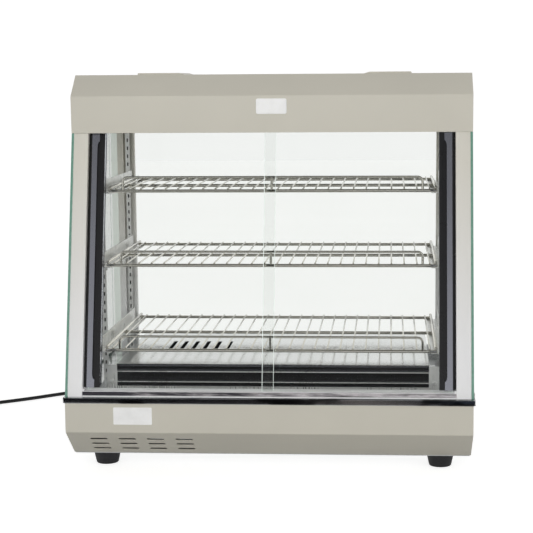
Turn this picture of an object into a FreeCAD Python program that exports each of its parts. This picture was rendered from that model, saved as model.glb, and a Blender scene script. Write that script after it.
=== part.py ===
import FreeCAD, Part
import math
import os

V = FreeCAD.Vector
os.makedirs("parts", exist_ok=True)

# ---- driving dimensions, mm ----------------------------------------------------------
# frame: service side faces -Y, +X to the right of it, +Z up, feet stand on z = 0
SHEET = 1.2                      # folded sheet steel

TRIM_HALF_W = 330.0              # polished band around the top of the base
TRIM_HALF_D = 218.5
TRIM_Z0 = 121.0
TRIM_Z1 = 130.0
TRIM_RING_X = 290.0              # opening inside the band
TRIM_RING_Y0 = -178.0
TRIM_RING_Y1 = 190.0

BASE_HALF_W = 327.0
BASE_FRONT_Y = -216.5
BASE_BACK_Y = 201.0              # set back under the band, so the controls stay inside it
BASE_FOLD_Z = 72.8               # vertical panel above, sloping panel below
BASE_FOOT_Y = 154.0
BASE_Z0 = 24.2

FOOT_X = 278.0
FOOT_Y = 124.0
FOOT_H = 23.0
FOOT_R_TOP = 22.5
FOOT_R_LOW = 18.6

CANOPY_Z0 = 548.5
CANOPY_FOLD_Z = 608.5
CANOPY_TOP_Z = 643.0
CANOPY_HALF_W = 328.0
CANOPY_FRONT_Y = -106.7
CANOPY_BACK_Y = 210.0
CANOPY_FOLD_RUN = 41.9           # how far the sloping band of the canopy runs in

FRONT_TOP_Y = -104.7             # leaning front plane at the underside of the canopy
LEAN = 0.251                     # run in Y for each mm of height

POST_X0 = 300.0
POST_X1 = 324.0
POST_DEPTH = 30.0
POST_WALL = 2.0
GLASS_T = 4.0
DOOR_GLASS_T = 4.6
FRONT_TRACK_D = 6.8              # depth of each door's glass behind the front plane
REAR_TRACK_D = 17.0
TRACK_PLAY = 0.6
TRACK_DEPTH = 26.0
LOWER_TRACK_Z1 = 142.7
UPPER_TRACK_Z1 = 562.0
DOOR_Z0 = 134.5
DOOR_Z1 = 557.5
HANDLE_Z0 = 143.2
HANDLE_Z1 = 547.8
HANDLE_X0 = 273.3
HANDLE_X1 = 299.6
GRIP_X0 = 278.5                  # finger groove in each door profile
GRIP_X1 = 285.8
GRIP_Z0 = 156.0
GRIP_Z1 = 534.0
GRIP_DEPTH = 3.6

REAR_POST_X0 = 297.0
REAR_POST_X1 = 308.5
REAR_POST_Y0 = 184.0
REAR_LIP_X = 279.0               # inner lip that holds the rear glass
REAR_LIP_Y0 = 195.0
REAR_FLANGE_T = 3.0              # outer flange that the side glass meets
REAR_FACE_Y = 208.0
REAR_GLASS_Y0 = 199.0

WELL_X = 289.5                   # sunken floor of the display space
WELL_Y0 = -177.5
WELL_Y1 = 189.5
WELL_FLOOR_Z = 121.5
WELL_T = 1.0

PLENUM_X = 259.0                 # polished box over the heater
PLENUM_Y0 = -122.0
PLENUM_Y1 = 180.0
PLENUM_Z0 = WELL_FLOOR_Z + WELL_T
PLENUM_Z1 = 166.0
PLENUM_LIP = 1.8                 # bead along the foot of the plenum's front
PLENUM_LIP_Z0 = 127.0
PLENUM_LIP_Z1 = 130.0
DECK_PITCH = 20.0                # warm air slots and holes in the plenum's deck
DECK_SLOT_L = 74.0
DECK_SLOT_W = 7.0

SHELF_Z = {"bottom": 196.2, "middle": 332.6, "top": 452.5}
SHELF_FRONT = {"bottom": -152.4, "middle": -124.5, "top": -93.0}
SHELF_MID = {"bottom": 19.1, "middle": 16.3, "top": 30.5}
SHELF_BACK_Y = 181.0
SHELF_X = 272.0
ROD_R = 2.75
WIRE_R = 1.3
WIRE_PITCH = 20.72
WIRE_COUNT = 26
SIDE_WIRE_R = 2.7
GUARD_R = 2.0
GUARD_X = 247.5
GUARD_RISE = 22.6
GUARD_BEND = 8.0

STD_X0 = 285.5                   # slotted standards and the brackets hooked in them
STD_X1 = 293.5
STD_PLAIN_X1 = 306.0             # the front pair has a plain flange beside the slots
STD_PLAIN_Z0 = 165.0
STD_RETURN = 12.0
STD_T = 2.0
STD_FRONT_Y = -60.0
STD_BACK_Y = 186.0
SLOT_PITCH = 14.7
SLOT_H = 6.5
SLOT_W = 2.6
SLOT_Z0 = 139.4
BRACKET_X0 = 262.0
BRACKET_X1 = 283.5
BRACKET_T = 1.5
BRACKET_RISE = 17.0              # upright leg above the middle of the shelf's rods

KNOB_X = 150.0                   # controls on the far base panel
CONTROL_Z = 97.0
KNOB_R = 17.0
SPIGOT_R = 3.0
RUN_CLEARANCE = 0.05
LIGHT_X = 104.0
HEAT_X = 62.0
PILOT_X = 24.0
ROCKER_TILT = 7.0
PIVOT_Y = 197.0

CORD_R = 3.5
GLAND_X = -250.0
GLAND_Z = 92.0
GLAND_END_Y = 232.0
COIL_X = -716.0
COIL_Y = 172.0
COIL_R = 38.5
COIL_BAND = 21.0
COIL_Z0 = 1.2
COIL_H = 14.0
TAIL_X = COIL_X + COIL_R + COIL_BAND / 2 - CORD_R
TAIL_Z = 11.7
TAIL_Y = COIL_Y - 42.0
LEAD_LEN = 36.0
CORD_POINTS = [
    (GLAND_X, GLAND_END_Y, GLAND_Z),
    (GLAND_X, 276.0, GLAND_Z),
    (-262.0, 318.0, 44.0),
    (-285.0, 368.0, 9.0),
    (-330.0, 410.0, 3.6),
    (-396.0, 425.0, 3.6),
    (-459.0, 391.0, 3.6),
    (-528.0, 330.0, 3.6),
    (-604.0, 279.0, 3.6),
    (-650.0, 240.0, 4.2),
    (-662.5, 194.7, 4.7),
]


# ---- helpers --------------------------------------------------------------------------
def box(x0, x1, y0, y1, z0, z1):
    return Part.makeBox(x1 - x0, y1 - y0, z1 - z0, V(x0, y0, z0))


def cyl(radius, start, end):
    start = V(*start)
    direction = V(*end) - start
    return Part.makeCylinder(radius, direction.Length, start, direction)


def cone(r0, r1, start, end):
    start = V(*start)
    direction = V(*end) - start
    return Part.makeCone(r0, r1, direction.Length, start, direction)


def polygon_face(points):
    return Part.Face(Part.makePolygon(points + [points[0]]))


def prism_yz(points, x0, x1):
    face = polygon_face([V(x0, y, z) for y, z in points])
    return face.extrude(V(x1 - x0, 0, 0))


def prism_xy(points, z0, z1):
    face = polygon_face([V(x, y, z0) for x, y in points])
    return face.extrude(V(0, 0, z1 - z0))


def mirrored(shape):
    return shape.mirror(V(0, 0, 0), V(1, 0, 0))


def group(shapes):
    return Part.makeCompound(shapes)


def fused(shapes):
    solid = shapes[0].multiFuse(shapes[1:])
    return solid.removeSplitter()


def export(node, shape):
    if not shape.isValid():
        raise RuntimeError(node + " is not a valid shape")
    if not shape.Solids:
        raise RuntimeError(node + " has no solid")
    if len(shape.Solids) == 1:
        shape = shape.Solids[0]
    shape.exportStep("parts/" + node + ".step")


def shrink(points, t):
    """Polygon moved inwards by t on every side; points run anticlockwise."""
    count = len(points)
    lines = []
    for i in range(count):
        ax, ay = points[i]
        bx, by = points[(i + 1) % count]
        length = math.hypot(bx - ax, by - ay)
        ux = (bx - ax) / length
        uy = (by - ay) / length
        lines.append((ax - uy * t, ay + ux * t, ux, uy))
    result = []
    for i in range(count):
        px, py, ux, uy = lines[i - 1]
        qx, qy, wx, wy = lines[i]
        k = ((qx - px) * wy - (qy - py) * wx) / (ux * wy - uy * wx)
        result.append((px + ux * k, py + uy * k))
    return result


def lean_y(z):
    return FRONT_TOP_Y - LEAN * (CANOPY_Z0 - z)


def lean_prism(x0, x1, d0, d1, z0, z1):
    """Block that follows the leaning front plane, d mm behind it."""
    y0 = lean_y(z0)
    y1 = lean_y(z1)
    return prism_yz([(y0 + d0, z0), (y0 + d1, z0), (y1 + d1, z1), (y1 + d0, z1)], x0, x1)


def lean_profile(points, z0, z1):
    face = polygon_face([V(x, lean_y(z0) + d, z0) for x, d in points])
    return face.extrude(V(0, lean_y(z1) - lean_y(z0), z1 - z0))


def rounded_slot(length, width, depth):
    """Slot cutter along X, centred on the origin, cut along Z."""
    half = length / 2 - width / 2
    bar = box(-half, half, -width / 2, width / 2, -depth / 2, depth / 2)
    ends = [cyl(width / 2, (s * half, 0, -depth / 2), (s * half, 0, depth / 2)) for s in (-1, 1)]
    return fused([bar] + ends)


def bent_tube(points, radius, report=None):
    """Round bar of straight runs joined by tangent arcs."""
    points = [V(*p) for p in points]
    edges = []
    start = points[0]
    radii = []
    for i in range(1, len(points) - 1):
        before = points[i - 1] - points[i]
        after = points[i + 1] - points[i]
        back = min(before.Length, after.Length) * 0.45
        a = points[i] + V(before).normalize() * back
        b = points[i] + V(after).normalize() * back
        turn = math.pi - before.getAngle(after)
        radii.append(back / math.tan(turn / 2))
        bisector = (V(before).normalize() + V(after).normalize()).normalize()
        rise = radii[-1] / math.cos(turn / 2) - radii[-1]
        edges.append(Part.LineSegment(start, a).toShape())
        edges.append(Part.Arc(a, points[i] + bisector * rise, b).toShape())
        start = b
    edges.append(Part.LineSegment(start, points[-1]).toShape())
    path = Part.Wire(edges)
    circle = Part.makeCircle(radius, points[0], points[1] - points[0])
    tube = path.makePipeShell([Part.Wire([circle])], True, True)
    if report:
        ideal = math.pi * radius ** 2 * path.Length
        print(report, "length %.1f mm" % path.Length)
        print(report, "bend radii", [round(r, 1) for r in radii])
        print(report, "volume over section times length %.4f" % (tube.Volume / ideal))
    return tube


# ---- base -----------------------------------------------------------------------------
def base_profile(top_z):
    return [
        (BASE_FRONT_Y, top_z),
        (BASE_FRONT_Y, BASE_FOLD_Z),
        (-BASE_FOOT_Y, BASE_Z0),
        (BASE_FOOT_Y, BASE_Z0),
        (BASE_BACK_Y, BASE_FOLD_Z),
        (BASE_BACK_Y, top_z),
    ]


def vent_cutters():
    first_x = -277.3
    pitch_x = 46.5
    slope = math.atan2(BASE_FOLD_Z - BASE_Z0, -BASE_FOOT_Y - BASE_FRONT_Y)
    cutters = []
    for row in range(3):
        along = 25.0 + 18.8 * row
        y = BASE_FRONT_Y + along * math.cos(slope)
        z = BASE_FOLD_Z - along * math.sin(slope)
        for column in range(4):
            slot = rounded_slot(29.0, 7.0, 8.0)
            slot.rotate(V(0, 0, 0), V(1, 0, 0), -math.degrees(slope))
            slot.translate(V(first_x + pitch_x * column, y, z))
            cutters.append(slot)
    return cutters


def base_shell():
    outer = base_profile(TRIM_Z0)
    lip = 12.0
    flange = 30.0
    shell = prism_yz(outer, -BASE_HALF_W, BASE_HALF_W)
    inside = BASE_HALF_W - SHEET
    shell = shell.cut(prism_yz(shrink(outer, SHEET), -inside, inside))
    low_y = BASE_FOOT_Y - lip
    low_x = inside - lip
    shell = shell.cut(box(-low_x, low_x, -low_y, low_y, BASE_Z0 - 1, BASE_Z0 + 2))
    top = box(-inside + flange, inside - flange, BASE_FRONT_Y + flange, BASE_BACK_Y - flange,
              TRIM_Z0 - 2, TRIM_Z0 + 1)
    shell = shell.cut(top)
    cutters = vent_cutters()
    for x in (LIGHT_X, HEAT_X):
        cutters.append(box(x - 14.2, x + 14.2, BASE_BACK_Y - 2, BASE_BACK_Y + 1,
                           CONTROL_Z - 10.2, CONTROL_Z + 10.2))
    for x, z, radius in ((KNOB_X, CONTROL_Z, 6.0), (PILOT_X, CONTROL_Z, 5.3), (GLAND_X, GLAND_Z, 7.8)):
        cutters.append(cyl(radius, (x, BASE_BACK_Y - 2, z), (x, BASE_BACK_Y + 1, z)))
    return shell.cut(group(cutters))


def foot_places():
    return [(sx * FOOT_X, sy * FOOT_Y) for sx in (-1, 1) for sy in (-1, 1)]


def bottom_plate():
    plate = box(-BASE_HALF_W + 2, BASE_HALF_W - 2, -BASE_FOOT_Y + 0.5, BASE_FOOT_Y - 0.5, FOOT_H, BASE_Z0)
    cutters = []
    for column in range(9):
        for y in (-60, 0, 60):
            slot = rounded_slot(34.0, 5.0, 6.0)
            slot.translate(V(-200 + 50 * column, y, FOOT_H))
            cutters.append(slot)
    for x, y in foot_places():
        cutters.append(cyl(2.8, (x, y, FOOT_H - 1), (x, y, BASE_Z0 + 1)))
    return plate.cut(group(cutters))


def feet():
    edge = 3.0
    made = []
    for x, y in foot_places():
        foot = cone(FOOT_R_LOW, FOOT_R_TOP, (x, y, 0), (x, y, FOOT_H))
        rim = [e for e in foot.Edges if e.BoundBox.ZMax < 0.01]
        foot = foot.makeFillet(edge, rim)
        foot = foot.cut(cyl(7.5, (x, y, -1), (x, y, 9)))
        foot = foot.cut(cyl(2.8, (x, y, 8), (x, y, FOOT_H + 1)))
        made.append(foot)
    return group(made)


def foot_screws():
    made = []
    for x, y in foot_places():
        head = cyl(5.5, (x, y, 6), (x, y, 9))
        shank = cyl(2.5, (x, y, 9), (x, y, 31))
        nut = cyl(5.0, (x, y, BASE_Z0), (x, y, BASE_Z0 + 4))
        made.append(fused([head, shank, nut]))
    return group(made)


def trim_band():
    corner = 5.0
    band = box(-TRIM_HALF_W, TRIM_HALF_W, -TRIM_HALF_D, TRIM_HALF_D, TRIM_Z0, TRIM_Z1)
    upright = [e for e in band.Edges if e.BoundBox.ZLength > 5]
    band = band.makeFillet(corner, upright)
    hollow = box(-TRIM_HALF_W + SHEET, TRIM_HALF_W - SHEET, -TRIM_HALF_D + SHEET, TRIM_HALF_D - SHEET,
                 TRIM_Z0 + SHEET, TRIM_Z1 - SHEET)
    upright = [e for e in hollow.Edges if e.BoundBox.ZLength > 5]
    band = band.cut(hollow.makeFillet(corner - SHEET, upright))
    return band.cut(box(-TRIM_RING_X, TRIM_RING_X, TRIM_RING_Y0, TRIM_RING_Y1, TRIM_Z0 - 1, TRIM_Z1 + 1))


def well_pan():
    wall = box(-WELL_X, WELL_X, WELL_Y0, WELL_Y1, WELL_FLOOR_Z, TRIM_Z1 + WELL_T)
    rim = box(-296.5, 296.5, -182, 195, TRIM_Z1, TRIM_Z1 + WELL_T)
    pan = fused([wall, rim])
    return pan.cut(box(-WELL_X + WELL_T, WELL_X - WELL_T, WELL_Y0 + WELL_T, WELL_Y1 - WELL_T,
                       WELL_FLOOR_Z + WELL_T, TRIM_Z1 + 5))


# ---- heated plenum --------------------------------------------------------------------
def plenum_body():
    step = 2.4
    outer = [
        (PLENUM_Y0, PLENUM_Z1),
        (PLENUM_Y0, 156.6),
        (PLENUM_Y0 + step - 1, 155.4),
        (PLENUM_Y0 + step, 139.2),
        (PLENUM_Y0, 138.0),
        (PLENUM_Y0, PLENUM_Z0),
        (PLENUM_Y1, PLENUM_Z0),
        (PLENUM_Y1, PLENUM_Z1),
    ]
    inner = shrink(outer, SHEET)
    body = prism_yz(outer, -PLENUM_X, PLENUM_X)
    body = body.cut(prism_yz(inner, -PLENUM_X + SHEET, PLENUM_X - SHEET))
    inset = 8.0
    hole = box(-PLENUM_X + inset, PLENUM_X - inset, PLENUM_Y0 + inset, PLENUM_Y1 - inset,
               PLENUM_Z0 - 1, PLENUM_Z1 + 1)
    body = body.cut(hole)
    ear = box(PLENUM_X, 276.5, PLENUM_Y0 + 1, PLENUM_Y0 + 1 + SHEET, PLENUM_Z0, PLENUM_Z1 - 1)
    ear = ear.cut(cyl(2.3, (268, PLENUM_Y0 - 2, 137), (268, PLENUM_Y0 + 4, 137)))
    lip = box(-PLENUM_X, PLENUM_X, PLENUM_Y0 - PLENUM_LIP, PLENUM_Y0 + 0.3, PLENUM_LIP_Z0, PLENUM_LIP_Z1)
    return fused([body, lip, ear, mirrored(ear)])


def plenum_deck():
    deck = box(-PLENUM_X - 0.6, PLENUM_X + 0.6, PLENUM_Y0 - 0.6, PLENUM_Y1 + 0.6, PLENUM_Z1, PLENUM_Z1 + SHEET)
    cutters = []
    for column in range(6):
        slot = rounded_slot(DECK_SLOT_L, DECK_SLOT_W, 6.0)
        slot.rotate(V(0, 0, 0), V(0, 0, 1), 90)
        slot.translate(V(-190.0 + DECK_PITCH * column, 51.0, PLENUM_Z1))
        cutters.append(slot)
    for column in range(14):
        x = -70.0 + DECK_PITCH * column
        cutters.append(cyl(3.0, (x, 14, PLENUM_Z1 - 1), (x, 14, PLENUM_Z1 + 3)))
    return deck.cut(group(cutters))


def plenum_screws():
    made = []
    for x in (-268.0, 268.0):
        y = PLENUM_Y0 + 1
        head = cyl(4.2, (x, y - 2.2, 137), (x, y, 137))
        shank = cyl(2.0, (x, y, 137), (x, y + 9, 137))
        nut = cyl(4.0, (x, y + SHEET, 137), (x, y + SHEET + 3, 137))
        made.append(fused([head, shank, nut]))
    return group(made)


def heater_element():
    z = 145.0
    points = [(-200, -40, z), (110, -40, z), (210, 30, z), (110, 100, z), (-200, 100, z)]
    return bent_tube(points, 4.0)


def heater_supports():
    made = []
    for x in (-170.0, -40.0, 30.0):
        made.append(box(x, x + 8, -48, 108, PLENUM_Z0, 141.0))
    return group(made)


# ---- glazed frame ---------------------------------------------------------------------
def lower_track():
    track = lean_prism(-POST_X0, POST_X0, 0, TRACK_DEPTH, TRIM_Z1, LOWER_TRACK_Z1)
    for d in (FRONT_TRACK_D, REAR_TRACK_D):
        track = track.cut(lean_prism(-POST_X0 - 1, POST_X0 + 1, d - TRACK_PLAY, d + DOOR_GLASS_T + TRACK_PLAY,
                                     DOOR_Z0 - 0.3, LOWER_TRACK_Z1 + 1))
    return track


def upper_track():
    track = lean_prism(-POST_X0, POST_X0, 2, TRACK_DEPTH, CANOPY_Z0, UPPER_TRACK_Z1)
    for d in (FRONT_TRACK_D, REAR_TRACK_D):
        track = track.cut(lean_prism(-POST_X0 - 1, POST_X0 + 1, d - TRACK_PLAY, d + DOOR_GLASS_T + TRACK_PLAY,
                                     CANOPY_Z0 - 1, DOOR_Z1 + 1))
    return track


def front_post():
    post = lean_prism(POST_X0, POST_X1, 0, POST_DEPTH, TRIM_Z1, CANOPY_Z0)
    return post.cut(lean_prism(POST_X0 + POST_WALL, POST_X1 - POST_WALL, POST_WALL, POST_DEPTH - POST_WALL,
                               TRIM_Z1 - 1, CANOPY_Z0 + 1))


def rear_post():
    post = box(REAR_POST_X0, REAR_POST_X1, REAR_POST_Y0, REAR_FACE_Y, TRIM_Z1, CANOPY_Z0)
    lip = box(REAR_LIP_X, REAR_POST_X0, REAR_LIP_Y0, REAR_FACE_Y - 1, TRIM_Z1, CANOPY_Z0)
    flange = box(REAR_POST_X1, POST_X1, REAR_FACE_Y - REAR_FLANGE_T, REAR_FACE_Y, TRIM_Z1, CANOPY_Z0)
    hollow = box(303, REAR_POST_X1 - POST_WALL, REAR_POST_Y0 + POST_WALL, REAR_FACE_Y - POST_WALL,
                 TRIM_Z1 - 1, CANOPY_Z0 + 1)
    groove = box(REAR_LIP_X - 1, 301, REAR_GLASS_Y0 - 0.1, REAR_GLASS_Y0 + GLASS_T + 0.1,
                 TRIM_Z1 - 1, CANOPY_Z0 + 1)
    return fused([post, lip, flange]).cut(hollow).cut(groove)


def side_glass():
    points = [
        (lean_y(TRIM_Z1), TRIM_Z1),
        (REAR_FACE_Y, TRIM_Z1),
        (REAR_FACE_Y, CANOPY_Z0),
        (lean_y(CANOPY_Z0), CANOPY_Z0),
    ]
    return prism_yz(points, POST_X1, POST_X1 + GLASS_T)


def rear_glass():
    return box(-300.8, 300.8, REAR_GLASS_Y0, REAR_GLASS_Y0 + GLASS_T, 134.2, 546.8)


def rear_rail(z0, z1, groove_z0, groove_z1):
    rail = box(-REAR_LIP_X, REAR_LIP_X, REAR_LIP_Y0, REAR_FACE_Y - 1, z0, z1)
    return rail.cut(box(-REAR_LIP_X - 1, REAR_LIP_X + 1, REAR_GLASS_Y0 - 0.1,
                        REAR_GLASS_Y0 + GLASS_T + 0.1, groove_z0, groove_z1))


def glass_clips():
    outer = POST_X1 + GLASS_T
    made = []
    for y in (-196.0, 170.0):
        for side in (-1, 1):
            plate = box(outer, outer + 1.0, y - 7, y + 7, TRIM_Z1, TRIM_Z1 + 9)
            head = cyl(2.6, (outer + 1.0, y, TRIM_Z1 + 4.5), (TRIM_HALF_W, y, TRIM_Z1 + 4.5))
            clip = fused([plate, head])
            made.append(clip if side > 0 else mirrored(clip))
    return group(made)


# ---- doors ----------------------------------------------------------------------------
def grip_cutter(face_d):
    """Long finger groove with pointed ends, following the lean."""
    mid = (GRIP_X0 + GRIP_X1) / 2
    half = (GRIP_X1 - GRIP_X0) / 2
    nose = 9.0
    outline = []
    for i in range(7):
        a = math.pi / 2 * i / 6
        outline.append((mid + half * math.cos(a), GRIP_Z1 - nose + nose * math.sin(a)))
    for i in range(1, 7):
        a = math.pi / 2 * (1 + i / 6)
        outline.append((mid + half * math.cos(a), GRIP_Z1 - nose + nose * math.sin(a)))
    for i in range(7):
        a = math.pi / 2 * (2 + i / 6)
        outline.append((mid + half * math.cos(a), GRIP_Z0 + nose + nose * math.sin(a)))
    for i in range(1, 7):
        a = math.pi / 2 * (3 + i / 6)
        outline.append((mid + half * math.cos(a), GRIP_Z0 + nose + nose * math.sin(a)))
    face = polygon_face([V(x, lean_y(z) + face_d - 1, z) for x, z in outline])
    return face.extrude(V(0, GRIP_DEPTH + 1, 0))


def door_handle(glass_d, face_d):
    """Full-height black profile pushed over the outer edge of a door's glass."""
    back_d = glass_d + DOOR_GLASS_T + 2.0
    bevel = 5.1
    profile = [
        (HANDLE_X0, face_d + 0.8),
        (HANDLE_X0 + 0.8, face_d),
        (HANDLE_X1 - bevel, face_d),
        (HANDLE_X1, face_d + 4.0),
        (HANDLE_X1, back_d),
        (HANDLE_X0, back_d),
    ]
    handle = lean_profile(profile, HANDLE_Z0, HANDLE_Z1)
    slot = lean_prism(HANDLE_X0 - 1, 294.0, glass_d, glass_d + DOOR_GLASS_T, HANDLE_Z0 - 1, HANDLE_Z1 + 1)
    return handle.cut(slot).cut(grip_cutter(face_d))


def door_glass(x0, x1, glass_d):
    return lean_prism(x0, x1, glass_d, glass_d + DOOR_GLASS_T, DOOR_Z0, DOOR_Z1)


# ---- shelves --------------------------------------------------------------------------
def standard(y, plain):
    strip = box(STD_X0, STD_X1, y, y + STD_T, TRIM_Z1 + WELL_T, CANOPY_Z0)
    if plain:
        flange = box(STD_X1, STD_PLAIN_X1, y, y + STD_T, STD_PLAIN_Z0, CANOPY_Z0)
        back = box(STD_PLAIN_X1 - STD_T, STD_PLAIN_X1, y, y + STD_RETURN, STD_PLAIN_Z0, CANOPY_Z0)
        strip = fused([strip, flange, back])
    mid = (STD_X0 + STD_X1) / 2
    cutters = []
    z = SLOT_Z0
    while z + SLOT_H < CANOPY_Z0 - 6:
        cutters.append(box(mid - SLOT_W / 2, mid + SLOT_W / 2, y - 1, y + STD_T + 1, z, z + SLOT_H))
        z += SLOT_PITCH
    return strip.cut(group(cutters))


def bracket(level):
    """Angle that carries one side of a shelf, hooked into the front and rear standards."""
    top = SHELF_Z[level] - ROD_R
    high = SHELF_Z[level] + BRACKET_RISE
    y0 = SHELF_FRONT[level] - 1
    leg = box(BRACKET_X1 - BRACKET_T, BRACKET_X1, y0, STD_BACK_Y, top - BRACKET_T, high)
    ledge = box(BRACKET_X0, BRACKET_X1, y0, SHELF_BACK_Y + 2, top - BRACKET_T, top)
    slot = math.floor((top - 5.0 - SLOT_Z0) / SLOT_PITCH)
    hook_z = SLOT_Z0 + slot * SLOT_PITCH
    mid = (STD_X0 + STD_X1) / 2
    pieces = [leg, ledge]
    for y in (STD_FRONT_Y, STD_BACK_Y):
        pieces.append(box(BRACKET_X1 - 0.5, mid + 1.6, y - BRACKET_T, y, min(hook_z, top - BRACKET_T), high))
        pieces.append(box(mid - 1.2, mid + 1.2, y - BRACKET_T, y + STD_T + 2.5, hook_z, hook_z + 5))
    return fused(pieces)


def wire_shelf(level):
    z = SHELF_Z[level]
    front = SHELF_FRONT[level]
    back = SHELF_BACK_Y
    pieces = []
    for y in (front, SHELF_MID[level], back):
        pieces.append(cyl(ROD_R, (-SHELF_X, y, z), (SHELF_X, y, z)))
    bite = 0.35
    wire_z = z + ROD_R + WIRE_R - bite
    overhang = 2.4
    for i in range(WIRE_COUNT):
        x = (i - (WIRE_COUNT - 1) / 2) * WIRE_PITCH
        pieces.append(cyl(WIRE_R, (x, front - overhang, wire_z), (x, back + overhang, wire_z)))
    side_z = z + ROD_R + SIDE_WIRE_R - bite
    for x in (-SHELF_X + SIDE_WIRE_R, SHELF_X - SIDE_WIRE_R):
        pieces.append(cyl(SIDE_WIRE_R, (x, front - overhang, side_z), (x, back + overhang, side_z)))
    rail_z = z + GUARD_RISE
    corner = [(-GUARD_X, front, z), (-GUARD_X, front, rail_z), (GUARD_X, front, rail_z), (GUARD_X, front, z)]
    pieces.append(guard_rail(corner))
    pieces.append(cyl(GUARD_R, (0, front, z), (0, front, rail_z)))
    return fused(pieces)


def guard_rail(corner):
    a, b, c, d = [V(*p) for p in corner]
    r = GUARD_BEND
    k = r * (1 - math.sqrt(0.5))
    edges = [
        Part.LineSegment(a, b - V(0, 0, r)).toShape(),
        Part.Arc(b - V(0, 0, r), b + V(k, 0, -k), b + V(r, 0, 0)).toShape(),
        Part.LineSegment(b + V(r, 0, 0), c - V(r, 0, 0)).toShape(),
        Part.Arc(c - V(r, 0, 0), c + V(-k, 0, -k), c - V(0, 0, r)).toShape(),
        Part.LineSegment(c - V(0, 0, r), d).toShape(),
    ]
    circle = Part.makeCircle(GUARD_R, a, V(0, 0, 1))
    return Part.Wire(edges).makePipeShell([Part.Wire([circle])], True, True)


# ---- canopy ---------------------------------------------------------------------------
def canopy_shell():
    low = [(CANOPY_FRONT_Y, CANOPY_Z0), (CANOPY_BACK_Y, CANOPY_Z0)]
    high = [
        (CANOPY_BACK_Y, CANOPY_FOLD_Z),
        (CANOPY_BACK_Y - CANOPY_FOLD_RUN, CANOPY_TOP_Z),
        (CANOPY_FRONT_Y + CANOPY_FOLD_RUN, CANOPY_TOP_Z),
        (CANOPY_FRONT_Y, CANOPY_FOLD_Z),
    ]
    shell = prism_yz(low + high, -CANOPY_HALF_W, CANOPY_HALF_W)
    open_low = [(y, z - SHEET - 1) for y, z in low]
    inner = shrink(open_low + high, SHEET)
    return shell.cut(prism_yz(inner, -CANOPY_HALF_W + SHEET, CANOPY_HALF_W - SHEET))


def canopy_liner():
    inside = CANOPY_HALF_W - SHEET - 0.2
    liner = box(-inside, inside, CANOPY_FRONT_Y + SHEET + 0.2, CANOPY_BACK_Y - SHEET - 0.2,
                CANOPY_Z0, CANOPY_Z0 + SHEET)
    track_room = box(-POST_X0, POST_X0, CANOPY_FRONT_Y - 5, lean_y(UPPER_TRACK_Z1) + TRACK_DEPTH,
                     CANOPY_Z0 - 1, CANOPY_Z0 + 5)
    window = box(-190, 190, 22, 58, CANOPY_Z0 - 1, CANOPY_Z0 + 5)
    return liner.cut(track_room).cut(window)


def lamp_tube():
    return cyl(8.0, (-200, 40, 582), (200, 40, 582))


def lamp_sockets():
    made = []
    for side in (-1, 1):
        x0, x1 = sorted((side * 200, side * 214))
        made.append(box(x0, x1, 24, 56, CANOPY_Z0 + SHEET, 600))
    return group(made)


def roof_cover():
    points = [(150.0, CANOPY_TOP_Z), (230.0, CANOPY_TOP_Z), (229.0, CANOPY_TOP_Z + 3), (160.0, CANOPY_TOP_Z + 3)]
    face = polygon_face([V(x, -30, z) for x, z in points])
    return face.extrude(V(0, 130, 0))


def plate_xz(x0, x1, y0, y1, z0, z1, corner):
    plate = box(x0, x1, y0, y1, z0, z1)
    ends = [e for e in plate.Edges if e.BoundBox.YLength > 0.9 * (y1 - y0) and e.BoundBox.XLength < 0.01]
    ends = [e for e in ends if e.BoundBox.ZLength < 0.01]
    return plate.makeFillet(corner, ends)


def badge_plate():
    return plate_xz(-23.5, 26.5, CANOPY_FRONT_Y - 1.2, CANOPY_FRONT_Y, 578.6, 603.6, 3.0)


def rating_label():
    return plate_xz(-248.5, -186.2, BASE_FRONT_Y - 0.3, BASE_FRONT_Y, 86.3, 114.5, 1.5)


# ---- controls -------------------------------------------------------------------------
def thermostat_body():
    back = BASE_BACK_Y - SHEET
    body = box(KNOB_X - 20, KNOB_X + 20, back - 34, back, CONTROL_Z - 18, CONTROL_Z + 18)
    return body.cut(cyl(SPIGOT_R + RUN_CLEARANCE, (KNOB_X, back - 12, CONTROL_Z), (KNOB_X, back + 1, CONTROL_Z)))


def thermostat_knob():
    y0 = BASE_BACK_Y + 0.5
    skirt = cyl(KNOB_R, (KNOB_X, y0, CONTROL_Z), (KNOB_X, y0 + 4, CONTROL_Z))
    grip = cone(14.0, 12.6, (KNOB_X, y0 + 4, CONTROL_Z), (KNOB_X, y0 + 14, CONTROL_Z))
    flutes = []
    for i in range(12):
        a = 2 * math.pi * i / 12
        x = KNOB_X + 15.0 * math.cos(a)
        z = CONTROL_Z + 15.0 * math.sin(a)
        flutes.append(cyl(2.4, (x, y0 + 4, z), (x, y0 + 15, z)))
    grip = grip.cut(group(flutes))
    pointer = box(KNOB_X - 1.2, KNOB_X + 1.2, y0 + 13, y0 + 15, CONTROL_Z, CONTROL_Z + 11)
    spigot = cyl(SPIGOT_R, (KNOB_X, BASE_BACK_Y - 11, CONTROL_Z), (KNOB_X, y0 + 1, CONTROL_Z))
    return fused([skirt, grip, pointer, spigot])


def switch_housing(x):
    y = BASE_BACK_Y
    bezel = box(x - 16.5, x + 16.5, y, y + 2, CONTROL_Z - 12.5, CONTROL_Z + 12.5)
    body = box(x - 14, x + 14, y - 16, y + 1, CONTROL_Z - 10, CONTROL_Z + 10)
    pocket = box(x - 12.6, x + 12.6, y - 12, y + 3, CONTROL_Z - 8.6, CONTROL_Z + 8.6)
    pins = cyl(1.5 + RUN_CLEARANCE, (x, PIVOT_Y, CONTROL_Z - 11), (x, PIVOT_Y, CONTROL_Z + 11))
    return fused([bezel, body]).cut(pocket).cut(pins)


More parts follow.
